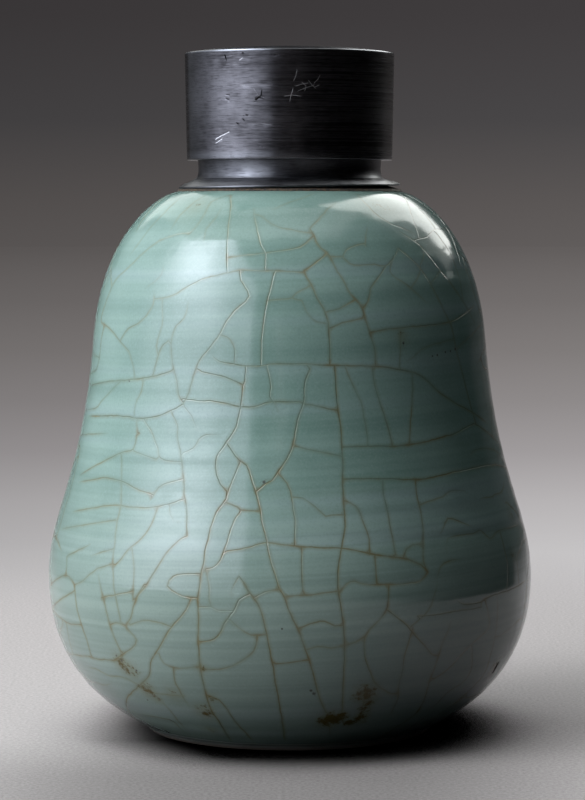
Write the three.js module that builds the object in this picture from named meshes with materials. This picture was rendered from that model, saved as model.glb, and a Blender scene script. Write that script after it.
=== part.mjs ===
// A celadon tea caddy: a wheel-thrown stoneware jar with a pewter collar bedded on its
// shoulder, a dished inner lid that plugs the collar's neck, and a tall pewter cap over both.
// Millimetres, +Z up. The origin is the centre of the foot, on the surface it stands on.
import * as THREE from "three";

// Steps round the axis and along the thrown curves
const roundSteps = 60;
const knobSteps = 24;
const curveSteps = 9;
const insideSteps = 15;

// Jar outline: foot, belly, waist and shoulder, with the reach of each curve between them
const footRadius = 29.8;
const footHeight = 1.05;
const footFlareAngle = 27;
const footFlareReach = 3.5;
const bellyRadius = 50;
const bellyHeight = 31.8;
const bellyReachBelow = 22.6;
const bellyReachAbove = 13.3;
const waistRadius = 40.4;
const waistHeight = 80.6;
const waistLeanAngle = 5;
const waistReachBelow = 30;
const waistReachAbove = 23.6;
const seatRadius = 24.4;
const seatHeight = 110;
const seatReach = 1;
const lipRise = 1.9;

// Jar underside and inside
const footRingWidth = 4.6;
const footRecess = 1.8;
const footBevel = 0.6;
const mouthRadius = 17.2;
const lipWidth = 0.7;
const wallAtShoulder = 3.6;
const wallAtFoot = 5.4;
const floorThickness = 5.2;
const floorCornerRise = 2;
const floorCornerReach = 9;

// Putty that beds the collar on the shoulder
const beddingThickness = 0.3;
const beddingProud = 0.3;
const layClearance = 0.05;

// Collar: a turned flange with a spigot in the mouth, and the neck tube soldered on it
const flangeReach = 3.95;
const flangeRim = 0.45;
const flangeBevel = 1.3;
const flangeThickness = 0.8;
const flangeSprungRise = 0.7;
const spigotClearance = 0.3;
const spigotWall = 1.1;
const spigotDepth = 7.5;
const neckRadius = 18.8;
const neckWall = 1.4;
const neckHeight = 23.3;
const neckHollow = 0.2;
const neckFillet = 0.35;

// Inner lid: a dish that plugs the neck and hangs by its rim, with a turned knob
const plugClearance = 0.15;
const plugWall = 1;
const plugDepth = 9;
const dishCorner = 1.2;
const rimThickness = 0.7;
const rimInset = 0.3;
const knobHeight = 7.2;
const knobFootRadius = 3.6;
const knobStemRadius = 2.2;
const knobHeadRadius = 4.4;

// Cap: a drawn wall and a domed top disc let into it
const capClearance = 0.2;
const capHang = 20.35;
const capWallThickness = 2.05;
const capFlare = 0.4;
const capPlate = 1.5;
const capDomeRise = 1.2;
const capEdge = 0.4;
const discInset = 1.05;
const solderGap = 0.05;

const glazedStoneware = new THREE.MeshStandardMaterial({
  color: 0x9cbcb4,
  roughness: 0.15,
  metalness: 0,
});
const putty = new THREE.MeshStandardMaterial({ color: 0x5f4a30, roughness: 0.85, metalness: 0 });
const pewter = new THREE.MeshStandardMaterial({ color: 0x66686d, roughness: 0.4, metalness: 1 });

const at = (radius, height) => new THREE.Vector2(radius, height);

// A point off another one, at an angle in degrees above the outward direction
function reach(point, angle, distance) {
  const radians = THREE.MathUtils.degToRad(angle);
  return at(point.x + Math.cos(radians) * distance, point.y + Math.sin(radians) * distance);
}

// A profile runs anticlockwise: out along the underside, up the outside and back down inside.
function revolve(profile, steps = roundSteps) {
  const geometry = new THREE.LatheGeometry(profile, steps);
  geometry.rotateX(Math.PI / 2);
  return geometry;
}

function closed(section) {
  return [...section, section[0]];
}

// Eases a corner where the profile comes in along one axis direction and leaves along another
function eased(corner, inward, outward, size, steps = 2) {
  const start = corner.clone().addScaledVector(inward, -size);
  const end = corner.clone().addScaledVector(outward, size);
  return new THREE.QuadraticBezierCurve(start, corner, end).getPoints(steps);
}

const out = at(1, 0);
const up = at(0, 1);
const inwards = at(-1, 0);
const down = at(0, -1);

// The cone of the shoulder that carries the collar
const lipRadius = mouthRadius + lipWidth;
const lipHeight = seatHeight + lipRise;
const seatSlope = lipRise / (seatRadius - lipRadius);
const seatAngle = THREE.MathUtils.radToDeg(Math.atan(seatSlope));
const seatAt = (radius) => seatHeight + (seatRadius - radius) * seatSlope;

// The thrown outline: foot to belly, belly to waist, waist to seat
const footEdge = at(footRadius, footHeight);
const belly = at(bellyRadius, bellyHeight);
const waist = at(waistRadius, waistHeight);
const seatEdge = at(seatRadius, seatHeight);
const lowerCurve = new THREE.CubicBezierCurve(
  footEdge,
  reach(footEdge, footFlareAngle, footFlareReach),
  reach(belly, -90, bellyReachBelow),
  belly,
);
const middleCurve = new THREE.CubicBezierCurve(
  belly,
  reach(belly, 90, bellyReachAbove),
  reach(waist, waistLeanAngle - 90, waistReachBelow),
  waist,
);
const shoulderCurve = new THREE.CubicBezierCurve(
  waist,
  reach(waist, waistLeanAngle + 90, waistReachAbove),
  reach(seatEdge, -seatAngle, seatReach),
  seatEdge,
);
const floorHeight = footRecess + floorThickness;

// The inside follows the outline at the wall's thickness, which grows towards the foot.
function insideWall() {
  const outline = new THREE.CurvePath();
  outline.curves.push(lowerCurve, middleCurve, shoulderCurve);
  const wall = [];
  for (let i = 0; i <= insideSteps; i++) {
    const along = 1 - i / insideSteps;
    const point = outline.getPointAt(along);
    const tangent = outline.getTangentAt(along);
    const thickness = THREE.MathUtils.lerp(wallAtFoot, wallAtShoulder, point.y / seatHeight);
    const inner = at(point.x - tangent.y * thickness, point.y + tangent.x * thickness);
    if (inner.y > floorHeight + floorCornerRise) {
      wall.push(inner);
    }
  }
  return wall;
}

function jarBody() {
  const wall = insideWall();
  const lowest = wall[wall.length - 1];
  const floorCorner = new THREE.QuadraticBezierCurve(
    lowest,
    at(lowest.x - floorCornerRise, floorHeight),
    at(lowest.x - floorCornerReach, floorHeight),
  );
  const ringInside = footRadius - footBevel - footRingWidth;
  return revolve([
    at(0, footRecess),
    at(ringInside - footBevel, footRecess),
    at(ringInside, 0),
    at(footRadius - footBevel, 0),
    ...lowerCurve.getSpacedPoints(curveSteps),
    ...middleCurve.getSpacedPoints(curveSteps).slice(1),
    ...shoulderCurve.getSpacedPoints(curveSteps).slice(1),
    at(lipRadius, lipHeight),
    at(mouthRadius, lipHeight - lipWidth),
    at(mouthRadius, seatAt(mouthRadius) - wallAtShoulder),
    ...wall,
    ...floorCorner.getPoints(4).slice(1),
    at(0, floorHeight),
  ]);
}

// The putty lies on the seat, and shows as a thin line past the flange.
const flangeRadius = neckRadius + flangeReach;
const beddingUnder = (radius) => seatAt(radius) + layClearance;
const beddingTop = (radius) => beddingUnder(radius) + beddingThickness;

function beddingRing() {
  const inside = lipRadius + layClearance;
  const outside = flangeRadius + beddingProud;
  return revolve(
    closed([
      at(inside, beddingUnder(inside)),
      at(outside, beddingUnder(outside)),
      at(outside - beddingThickness, beddingTop(outside - beddingThickness)),
      at(inside, beddingTop(inside)),
    ]),
  );
}

const flangeUnder = (radius) => beddingTop(radius) + layClearance;
const landHeight = flangeUnder(lipRadius) + flangeThickness;
const spigotRadius = mouthRadius - spigotClearance;
const spigotBore = spigotRadius - spigotWall;

// One side of the rim has sprung up off the putty, and the rim leans with it.
function springRim(geometry) {
  const position = geometry.getAttribute("position");
  const fixedRadius = neckRadius + neckFillet;
  for (let i = 0; i < position.count; i++) {
    const radius = Math.hypot(position.getX(i), position.getY(i));
    const share = (radius - fixedRadius) / (flangeRadius - fixedRadius);
    if (share > 0) {
      const side = (1 + position.getX(i) / radius) / 2;
      position.setZ(i, position.getZ(i) + flangeSprungRise * share * side);
    }
  }
  return geometry;
}

function collarFlange() {
  const spigotEnd = lipHeight - spigotDepth;
  const rimUnder = flangeUnder(flangeRadius);
  const bevelRadius = flangeRadius - flangeBevel;
  const bevelShare = flangeBevel / (flangeRadius - neckRadius - neckFillet);
  const bevelTop = THREE.MathUtils.lerp(rimUnder + flangeRim, landHeight, bevelShare);
  const fullness = flangeRim / 4;
  return springRim(
    revolve(
      closed([
        at(spigotBore, spigotEnd),
        at(spigotRadius, spigotEnd),
        at(spigotRadius, flangeUnder(lipRadius)),
        at(lipRadius, flangeUnder(lipRadius)),
        at(flangeRadius - fullness, flangeUnder(flangeRadius - fullness)),
        at(flangeRadius, rimUnder + flangeRim / 2),
        at(flangeRadius - fullness, rimUnder + flangeRim),
        at(bevelRadius, bevelTop + fullness),
        at(neckRadius + neckFillet, landHeight),
        at(spigotBore, landHeight),
      ]),
    ),
  );
}

const neckBore = neckRadius - neckWall;
const neckTop = landHeight + neckHeight;
const rimTop = neckTop + rimThickness;
const capBottom = neckTop + rimThickness - capHang;

function neckTube() {
  const shown = new THREE.QuadraticBezierCurve(
    at(neckRadius + neckFillet, landHeight),
    at(neckRadius - 2 * neckHollow, (landHeight + capBottom) / 2),
    at(neckRadius, capBottom),
  );
  return revolve(
    closed([
      at(neckBore, landHeight),
      ...shown.getPoints(4),
      ...eased(at(neckRadius, neckTop), up, inwards, rimInset),
      at(neckBore, neckTop),
    ]),
  );
}

const plugRadius = neckBore - plugClearance;
const plugUnder = neckTop - plugDepth;
const dishRadius = plugRadius - plugWall;
const dishFloor = plugUnder + plugWall;

function innerLid() {
  const rimRadius = neckRadius - rimInset;
  return revolve([
    at(0, plugUnder),
    ...eased(at(plugRadius, plugUnder), out, up, dishCorner, 3),
    at(plugRadius, neckTop),
    at(rimRadius, neckTop),
    ...eased(at(rimRadius, rimTop), up, inwards, rimThickness / 2),
    ...eased(at(dishRadius, rimTop), inwards, down, rimThickness / 2),
    ...eased(at(dishRadius, dishFloor), down, inwards, dishCorner, 3),
    at(0, dishFloor),
  ]);
}

// The knob spreads to a foot, narrows to a stem and swells to a domed head.
function innerLidKnob() {
  const side = new THREE.SplineCurve([
    at(knobFootRadius, dishFloor),
    at(knobStemRadius, dishFloor + knobHeight * 0.42),
    at(knobHeadRadius, dishFloor + knobHeight * 0.76),
    at(knobHeadRadius * 0.6, dishFloor + knobHeight * 0.97),
    at(0, dishFloor + knobHeight),
  ]);
  return revolve([at(0, dishFloor), ...side.getPoints(14)], knobSteps);
}

const capBore = neckRadius + capClearance;
const capBottomRadius = capBore + capWallThickness;
const capTopRadius = capBottomRadius + capFlare;
const discRadius = capTopRadius - discInset;
const capTop = rimTop + capPlate;

function capWall() {
  return revolve(
    closed([
      at(capBore, capBottom),
      at(capBottomRadius - capEdge / 2, capBottom),
      at(capBottomRadius, capBottom + capEdge / 2),
      ...eased(at(capTopRadius, capTop), up, inwards, capEdge),
      at(discRadius + solderGap, capTop),
      at(discRadius + solderGap, rimTop),
      at(capBore, rimTop),
    ]),
  );
}

// The top disc lies on the wall's ledge and on the inner lid's rim, and its top is domed.
function capDisc() {
  const dome = new THREE.QuadraticBezierCurve(
    at(discRadius, capTop),
    at(discRadius / 2, capTop + capDomeRise),
    at(0, capTop + capDomeRise),
  );
  return revolve([at(0, rimTop), at(discRadius, rimTop), ...dome.getPoints(8)]);
}

function piece(name, geometry, material) {
  const mesh = new THREE.Mesh(geometry, material);
  mesh.name = name;
  return mesh;
}

const jar = new THREE.Group();
jar.add(piece("jar_body", jarBody(), glazedStoneware));
jar.add(piece("bedding_ring", beddingRing(), putty));
jar.add(piece("collar_flange", collarFlange(), pewter));
jar.add(piece("neck_tube", neckTube(), pewter));

const stopper = new THREE.Group();
stopper.add(piece("inner_lid", innerLid(), pewter));
stopper.add(piece("inner_lid_knob", innerLidKnob(), pewter));

const cap = new THREE.Group();
cap.add(piece("cap_wall", capWall(), pewter));
cap.add(piece("cap_disc", capDisc(), pewter));

const group = new THREE.Group();
group.add(jar, stopper, cap);
export default group;
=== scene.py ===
import math
import random

import bpy
import numpy as np
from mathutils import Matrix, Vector
from mathutils.geometry import delaunay_2d_cdt
from mathutils.kdtree import KDTree


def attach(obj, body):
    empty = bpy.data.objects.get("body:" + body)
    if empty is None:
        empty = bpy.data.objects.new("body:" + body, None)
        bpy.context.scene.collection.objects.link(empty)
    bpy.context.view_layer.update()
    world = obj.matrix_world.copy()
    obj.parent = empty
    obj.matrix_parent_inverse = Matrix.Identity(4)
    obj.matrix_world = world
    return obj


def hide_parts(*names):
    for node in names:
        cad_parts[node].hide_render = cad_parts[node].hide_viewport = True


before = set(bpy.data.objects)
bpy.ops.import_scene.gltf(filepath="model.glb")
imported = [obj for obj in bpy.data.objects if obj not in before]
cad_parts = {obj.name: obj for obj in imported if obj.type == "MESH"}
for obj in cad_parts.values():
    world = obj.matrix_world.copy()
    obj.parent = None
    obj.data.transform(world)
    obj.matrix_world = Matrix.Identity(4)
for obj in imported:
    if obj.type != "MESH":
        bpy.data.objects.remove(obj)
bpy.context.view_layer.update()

MM = 0.001

# Camera, which also carries points read in the photograph's pixels onto the jar
PHOTO_WIDTH = 585
PHOTO_HEIGHT = 800
FOCAL_PIXELS = 2900
SENSOR = 36
CAMERA_AT = Vector((0.6, -596.7, 108.2))
CAMERA_PITCH = math.radians(3.9)
# Distances from the camera, in millimetres, at which a line of sight is tried against a turned form
SEARCH_DISTANCES = np.linspace(520, 620, 1001)[:, None]

# Jar outline, in millimetres
FOOT_RADIUS = 29.8
FOOT_HEIGHT = 1.05
FOOT_FLARE_ANGLE = 27
FOOT_FLARE_REACH = 3.5
BELLY_RADIUS = 50
BELLY_HEIGHT = 31.8
BELLY_REACH_BELOW = 22.6
BELLY_REACH_ABOVE = 13.3
WAIST_RADIUS = 40.4
WAIST_HEIGHT = 80.6
WAIST_LEAN_ANGLE = 5
WAIST_REACH_BELOW = 30
WAIST_REACH_ABOVE = 23.6
SEAT_RADIUS = 24.4
SEAT_HEIGHT = 110
SEAT_REACH = 1
LIP_RISE = 1.9
MOUTH_RADIUS = 17.2
LIP_WIDTH = 0.7

# Jar inside and underside, in millimetres. The inside follows the outline at these shares of its length.
INSIDE_SHARES = np.linspace(0.94, 0.02, 60)
WALL_AT_SHOULDER = 3.6
WALL_AT_FOOT = 5.4
WALL_OFF_MOUTH = 1.5
WALL_OFF_FLOOR = 3
FLOOR_THICKNESS = 5.2
FLOOR_CORNER_INSET = 1.4
FLOOR_CORNER_EASE = 3
LIP_EASE = 0.3
SHOULDER_EASE = 0.9
FOOT_RING_WIDTH = 4.6
FOOT_RECESS = 1.8
FOOT_BEVEL = 0.6
RECESS_EASE = 0.8
RING_EASE = 0.4
FOOT_EASE = 0.3
BARE_HEIGHT = 1.5
BARE_BLEND = 0.6

# Collar, in millimetres
LAY_CLEARANCE = 0.05
BEDDING_THICKNESS = 0.3
BEDDING_PROUD = 0.3
BEDDING_EDGE_EASE = 0.05
BEDDING_TOP_EASE = 0.08
FLANGE_REACH = 3.95
FLANGE_RIM = 0.45
FLANGE_BEVEL = 1.3
FLANGE_THICKNESS = 0.8
FLANGE_SPRUNG_RISE = 0.7
GROOVE_MIDDLE = 0.18
GROOVE_WIDTH = 0.4
GROOVE_DEPTH = 0.1
GROOVE_SHOULDER = 0.04
GROOVE_EASE = 0.08
SPIGOT_CLEARANCE = 0.3
SPIGOT_WALL = 1.1
SPIGOT_DEPTH = 7.5
NECK_RADIUS = 18.8
NECK_WALL = 1.4
NECK_HEIGHT = 23.3
NECK_HOLLOW = 0.2
NECK_SWEEP = 0.7
NECK_FILLET = 0.35
EDGE_EASE = 0.2
FINE_EASE = 0.1

# Inner lid, in millimetres
PLUG_CLEARANCE = 0.15
PLUG_WALL = 1
PLUG_DEPTH = 9
DISH_CORNER = 1.2
RIM_THICKNESS = 0.7
RIM_INSET = 0.3
RIM_EASE_SHARE = 0.45
KNOB_HEIGHT = 7.2
KNOB_FOOT_RADIUS = 3.6
KNOB_STEM_RADIUS = 2.2
KNOB_HEAD_RADIUS = 4.4
KNOB_SWEEP = 0.4

# Cap, in millimetres
CAP_CLEARANCE = 0.2
CAP_HANG = 20.35
CAP_WALL = 2.05
CAP_FLARE = 0.4
CAP_PLATE = 1.5
CAP_DOME_RISE = 1.2
CAP_EDGE = 0.4
CAP_TOP_EASE = CAP_EDGE * 0.9
CAP_FOOT_EASE = CAP_EDGE / 2
CAP_FOOT_INSET = 0.05
CAP_BORE_EASE = 0.15
DISC_INSET = 1.05
DISC_SEAT_EASE = 0.05
SOLDER_GAP = 0.05
SCRATCH_DEPTH = 0.03
PIT_DEPTH = 0.12

# Mesh fineness: points on a curve, columns round the axis, and rows on the jar and up the cap
CURVE_STEPS = 240
CONE_STEPS = 30
SKIN_COLUMNS = 168
SKIN_ROW = 1.9
SKIN_CLEARANCE = SKIN_ROW * 0.33
PEWTER_STEPS = 192
KNOB_STEPS = 96
FLOOR_STEPS = 96
CAP_ROWS = 30
SPECK_SIDES = 8
# Steps over which slopes are taken: millimetres along the outline, and radians round the axis
SLOPE_STEP = 0.2
INSIDE_SLOPE_STEP = 0.3
NORMAL_STEP = 0.15
NORMAL_TURN = 0.004

# Throwing rings on the outside, in millimetres: their depth, how far they lean, and two ways in which
# the jar is out of round. The skin is set back by as much, so that it stays inside the outline.
RING_DEPTH = 0.055
RING_SWAY = 1.0
OUT_OF_ROUND = 0.09
WARP = 0.05
SKIN_SET_BACK = OUT_OF_ROUND + WARP
# The rings grow in over this length above the foot, and fade out over this length to a smooth shoulder
RINGS_GROW = 8
RINGS_FADE = 14
SMOOTH_SHOULDER = 12
# Throwing lines in the colour of the glaze rise this much to the right
RING_TILT = 0.044

# Crackle, in millimetres: half widths of a line and of its stain, what stands for no line near and for
# no knot near, and the depth of the groove
CRACK_CORE = 0.17
CRACK_HALO = 0.8
CRACK_FAR = 1.6
KNOT_FAR = 50.0
CRACK_DEPTH = 0.03
# The points of a line lie this far apart, and it fades over its last stretch before an open end, down
# to a share of its strength
CRACK_SAMPLE = 1.1
CRACK_FADE = 4
FADED_SHARE = 0.15
# Lines stop this far from the skin's borders
BORDER_MARGIN = 0.2
# How far a point strays sideways, and the share that it keeps of the stray before it
CRACK_STRAY = 0.055
STRAY_KEPT = 0.72
# An end that is between these distances from another line is drawn on to it
MET_ALREADY = 0.05
CRACK_SNAP = 1.3
# Stretches of line that each place is measured against
STRETCHES_TRIED = 6
SEED = 7
# The traced side reaches to the first angle. An open end beyond the second one runs on.
SEEN_ANGLE = math.radians(70)
RUN_ON_ANGLE = math.radians(54)
RUN_ON = 9
STRONG, MIDDLE, FAINT = 1.0, 0.78, 0.55
# Grown lines: their strength, the room that they need and their greatest length each way
GROWTH = ((STRONG, 15.0, 60), (MIDDLE, 8.5, 34), (FAINT, 6.2, 16))
SEEN_ROOM = 6.8
GROW_TRIES = 900
CRACK_STEP = 1.4
MEETING_GAP = CRACK_STEP * 0.8
# Grown lines start and run no nearer than this to the foot and to the lip, and from the back they stop
# at the edge of the traced side
START_MARGINS = (3, 9)
RUN_MARGINS = (0.4, 5)
STOP_ANGLE = SEEN_ANGLE * 0.97
# They set out upright or level, give or take some radians
HEADING_SPREAD = 0.35
# At each step a growing line bends and wanders by some radians, and a share of the steps has a kink
GROW_BEND = 0.02
GROW_WANDER = 0.13
GROW_KINK = 0.5
GROW_KINK_SHARE = 0.06

# Crackle lines of the seen side, as points in the photograph's pixels
STRONG_CRACKS = [
    [(274, 273), (270, 291), (265, 311), (262, 334), (261, 365)],
    [(212, 356), (219, 361), (234, 364), (246, 366), (262, 366), (277, 364), (307, 364), (330, 365),
     (376, 366), (388, 367), (411, 372), (426, 379), (439, 391), (457, 403), (471, 411)],
    [(246, 366), (245, 381), (243, 385), (241, 402), (237, 421), (234, 431), (226, 442), (219, 453),
     (216, 461), (217, 474), (221, 484), (227, 491)],
    [(100, 383), (115, 381), (130, 380), (143, 378), (156, 376), (171, 371)],
    [(314, 235), (316, 241), (321, 248), (327, 252), (323, 256), (310, 266), (304, 270), (307, 278),
     (311, 285), (316, 296), (321, 304), (326, 314), (329, 328), (330, 344), (330, 365)],
    [(386, 266), (378, 278), (371, 288), (369, 301), (363, 308)],
    [(371, 332), (401, 328), (429, 325), (451, 322), (462, 316)],
    [(307, 365), (310, 369), (305, 381), (304, 400), (303, 403), (297, 425), (294, 444), (287, 458),
     (279, 471), (272, 480), (265, 484), (257, 491)],
    [(335, 366), (336, 381), (337, 400), (338, 410), (341, 435), (343, 468), (344, 501), (345, 526),
     (341, 546), (339, 567), (339, 591), (342, 610), (344, 635), (345, 660), (343, 688), (343, 709),
     (340, 716)],
    [(101, 416), (113, 415), (126, 416), (143, 418), (159, 416), (171, 411), (183, 404)],
    [(183, 399), (199, 401), (216, 402), (239, 407), (254, 407), (272, 402), (300, 402), (303, 403),
     (318, 407), (338, 410)],
    [(227, 491), (226, 499), (219, 508), (214, 518), (209, 534), (205, 551), (204, 562), (201, 576),
     (198, 600), (198, 626), (199, 651), (201, 673), (204, 688), (207, 699), (212, 713), (221, 726),
     (232, 742)],
    [(226, 442), (232, 450), (241, 460), (247, 465), (252, 478), (256, 491), (259, 504), (262, 524),
     (266, 541), (270, 559), (275, 576), (279, 589), (284, 598), (290, 615), (300, 635), (307, 655),
     (312, 671), (316, 686), (321, 701), (328, 716)],
    [(227, 551), (242, 549), (256, 545), (266, 543), (281, 544), (295, 546), (318, 547), (340, 547),
     (355, 550), (370, 554), (388, 556), (404, 558), (421, 564), (428, 572)],
    [(250, 594), (239, 600), (234, 611), (227, 620), (221, 633), (214, 640), (201, 642)],
    [(343, 447), (368, 446), (393, 446), (409, 444), (429, 441), (451, 435), (472, 426), (477, 425),
     (486, 430)],
    [(345, 479), (360, 479), (376, 479), (393, 479), (418, 480), (431, 478), (451, 473), (471, 469),
     (491, 465), (501, 465)],
    [(191, 599), (186, 610), (178, 620), (171, 628), (163, 641), (156, 653), (150, 663), (149, 675),
     (143, 683), (133, 691), (127, 698), (126, 708), (133, 718), (140, 724)],
    [(245, 585), (249, 592), (257, 603), (263, 618), (267, 635), (270, 651), (273, 668), (276, 688),
     (280, 708), (283, 726), (285, 741)],
]
MIDDLE_CRACKS = [
    [(231, 195), (231, 205), (228, 226), (227, 251), (227, 271)],
    [(254, 208), (256, 226), (261, 245), (265, 253), (265, 270)],
    [(227, 257), (247, 254), (264, 252), (281, 250), (300, 246), (310, 238), (314, 235), (310, 228),
     (318, 220), (330, 207), (336, 203)],
    [(154, 299), (173, 295), (189, 286), (206, 278), (222, 273), (239, 270), (256, 270), (276, 270),
     (303, 272)],
    [(240, 271), (241, 280), (249, 296), (239, 306), (226, 321), (217, 338), (207, 351), (199, 361),
     (193, 376), (189, 393), (183, 403)],
    [(197, 369), (202, 372), (219, 376), (231, 380), (241, 384)],
    [(267, 366), (270, 381), (270, 397), (274, 403), (279, 412)],
    [(188, 301), (187, 306), (184, 318), (176, 326), (172, 338), (171, 351), (173, 369), (176, 381),
     (178, 395), (183, 403)],
    [(168, 341), (163, 345), (159, 352), (156, 361), (153, 374)],
    [(154, 296), (153, 304), (146, 316), (138, 324), (128, 329), (121, 339)],
    [(189, 233), (176, 234), (159, 241), (143, 253), (130, 266), (115, 281), (110, 291), (105, 304),
     (101, 321), (110, 329), (120, 342), (128, 351)],
    [(327, 252), (330, 256), (343, 256)],
    [(343, 256), (346, 250), (355, 245), (365, 243)],
    [(343, 256), (350, 263), (360, 265), (375, 264), (386, 266), (394, 258), (399, 248)],
    [(330, 256), (338, 271), (345, 283), (351, 294), (356, 299), (363, 308), (366, 321), (371, 334),
     (375, 347), (376, 365)],
    [(326, 312), (340, 308), (356, 299)],
    [(330, 328), (343, 323), (363, 318)],
    [(399, 231), (418, 243), (426, 251), (441, 270), (459, 294)],
    [(399, 248), (411, 258), (421, 268), (431, 283), (439, 298), (446, 313), (451, 323), (454, 334),
     (457, 349), (462, 367), (466, 384)],
    [(373, 367), (375, 384), (381, 403), (386, 418), (390, 433), (393, 446)],
    [(413, 372), (413, 400), (412, 410), (410, 443)],
    [(173, 416), (177, 425), (178, 440), (181, 456), (183, 478), (184, 494), (186, 509), (187, 536)],
    [(97, 464), (106, 460), (120, 453), (133, 449), (136, 436), (139, 433)],
    [(96, 479), (106, 477), (120, 480), (133, 487), (143, 491), (151, 494)],
    [(151, 499), (156, 491), (163, 485), (183, 479)],
    [(91, 508), (106, 506), (120, 506), (140, 508), (153, 507), (169, 504), (184, 499)],
    [(157, 507), (154, 518), (148, 529), (138, 541), (128, 549), (121, 559), (115, 565)],
    [(241, 461), (236, 471), (231, 483), (226, 499)],
    [(241, 510), (261, 511)],
    [(219, 508), (227, 503), (241, 510), (236, 518), (231, 531), (226, 547), (221, 559), (214, 567),
     (206, 569)],
    [(279, 474), (287, 483), (291, 491), (293, 504), (295, 521), (295, 546)],
    [(135, 599), (146, 584), (159, 564), (169, 551), (181, 539), (187, 536)],
    [(200, 574), (183, 574), (173, 577), (168, 586), (178, 594), (191, 598), (197, 598)],
    [(65, 576), (66, 564), (66, 557), (75, 552), (86, 546), (90, 544)],
    [(52, 582), (62, 576), (68, 577), (73, 584), (74, 590), (62, 598), (52, 607)],
    [(101, 598), (113, 595), (130, 592)],
    [(231, 591), (236, 581), (239, 577), (246, 587), (250, 594)],
    [(295, 446), (307, 449), (323, 453), (341, 456)],
    [(383, 479), (384, 493), (388, 511), (391, 529), (394, 544), (396, 554)],
    [(346, 501), (356, 506), (361, 514), (366, 528), (369, 539), (370, 554)],
    [(416, 480), (418, 498), (421, 511), (423, 523), (424, 542), (424, 561), (428, 572)],
    [(404, 557), (407, 549), (413, 545), (424, 544)],
    [(441, 534), (444, 528), (449, 519), (459, 521), (472, 526)],
    [(438, 577), (441, 567), (449, 561), (461, 559)],
    [(428, 572), (421, 581), (401, 584), (384, 585), (365, 585), (351, 582), (340, 592)],
    [(375, 556), (376, 571), (377, 584)],
    [(302, 547), (302, 567), (303, 591)],
    [(285, 597), (305, 595), (340, 591)],
    [(389, 585), (388, 607)],
    [(74, 585), (76, 605), (81, 626), (86, 641), (91, 658)],
    [(62, 620), (68, 624), (80, 625)],
    [(71, 655), (81, 657), (91, 658), (98, 660), (113, 661)],
    [(98, 574), (100, 585), (103, 598), (106, 611), (110, 626), (115, 640), (120, 651)],
    [(110, 625), (116, 623), (126, 626)],
    [(144, 585), (138, 595), (133, 607), (130, 618), (125, 626), (130, 633), (136, 640), (131, 648),
     (123, 654), (115, 660)],
    [(207, 696), (219, 701), (227, 711), (236, 723), (246, 734), (254, 742)],
    [(257, 640), (254, 651), (242, 661), (231, 667), (219, 670), (203, 670)],
    [(254, 598), (265, 592), (279, 589)],
    [(276, 664), (289, 663), (307, 660)],
    [(173, 668), (175, 681), (183, 698), (189, 708)],
    [(298, 629), (310, 624), (325, 621), (335, 626), (344, 625)],
    [(388, 607), (384, 615), (375, 625), (366, 636), (366, 656), (371, 673), (378, 686), (391, 694),
     (398, 694)],
    [(366, 636), (356, 642), (346, 645)],
    [(388, 610), (399, 618), (408, 625), (416, 635), (426, 646), (433, 655), (439, 656)],
    [(413, 630), (409, 643), (405, 656), (403, 671), (399, 684), (398, 698), (393, 709), (390, 716)],
    [(452, 620), (449, 630), (444, 641), (439, 656), (434, 670), (429, 683), (424, 698), (418, 711)],
    [(486, 600), (489, 615), (489, 628), (482, 636), (474, 643), (459, 658), (447, 670), (434, 679)],
    [(457, 600), (467, 605), (482, 602), (487, 598), (501, 593), (514, 588)],
]
FAINT_CRACKS = [
    [(218, 335), (227, 337), (232, 344), (235, 352), (234, 363)],
    [(143, 379), (141, 391), (135, 405), (134, 416)],
    [(130, 356), (133, 367), (134, 374)],
    [(163, 265), (161, 275), (146, 288)],
    [(221, 208), (216, 218), (207, 228), (204, 241)],
    [(272, 210), (285, 204), (300, 199), (315, 193)],
    [(270, 300), (292, 298), (297, 293), (311, 285)],
    [(368, 225), (366, 235), (366, 246)],
    [(401, 334), (400, 367)],
    [(418, 243), (424, 250), (421, 265)],
    [(394, 258), (391, 271), (401, 281), (411, 288), (428, 303)],
    [(411, 288), (418, 278), (421, 270)],
    [(441, 270), (433, 281)],
    [(295, 299), (302, 300), (308, 313), (316, 321), (326, 323)],
    [(184, 407), (191, 416), (196, 428)],
    [(183, 453), (193, 448), (199, 440), (206, 435), (220, 435)],
    [(133, 451), (146, 456), (156, 459), (159, 456), (166, 460), (181, 462)],
    [(136, 420), (137, 433)],
    [(121, 456), (121, 480), (120, 506), (116, 526), (114, 542), (112, 564), (113, 584), (116, 600),
     (120, 618), (120, 625)],
    [(169, 505), (170, 514), (174, 521)],
    [(90, 556), (103, 552), (113, 549)],
    [(132, 551), (133, 567), (133, 600)],
    [(206, 569), (208, 579), (209, 600), (211, 607)],
    [(85, 410), (95, 408), (100, 402)],
    [(80, 435), (90, 434)],
    [(76, 526), (88, 524)],
    [(447, 544), (449, 538), (459, 535), (474, 533), (482, 530), (491, 538), (499, 531), (509, 528)],
    [(130, 625), (143, 621), (156, 622), (171, 627)],
    [(199, 607), (211, 607), (219, 611), (234, 611)],
    [(230, 620), (239, 628), (251, 635), (262, 635)],
    [(140, 716), (159, 719), (173, 723), (184, 733)],
    [(438, 585), (434, 598), (429, 611), (413, 625)],
    [(472, 646), (472, 665), (469, 675), (461, 684), (447, 693), (438, 703), (426, 711)],
    [(496, 633), (491, 655), (486, 671), (476, 684), (466, 694)],
    [(418, 616), (442, 614), (459, 611), (482, 607)],
    [(330, 724), (330, 736)],
    [(159, 654), (164, 664), (180, 669), (199, 667)],
    [(159, 701), (170, 712), (186, 731)],
    [(138, 688), (151, 693), (173, 696), (189, 696)],
]

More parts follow.
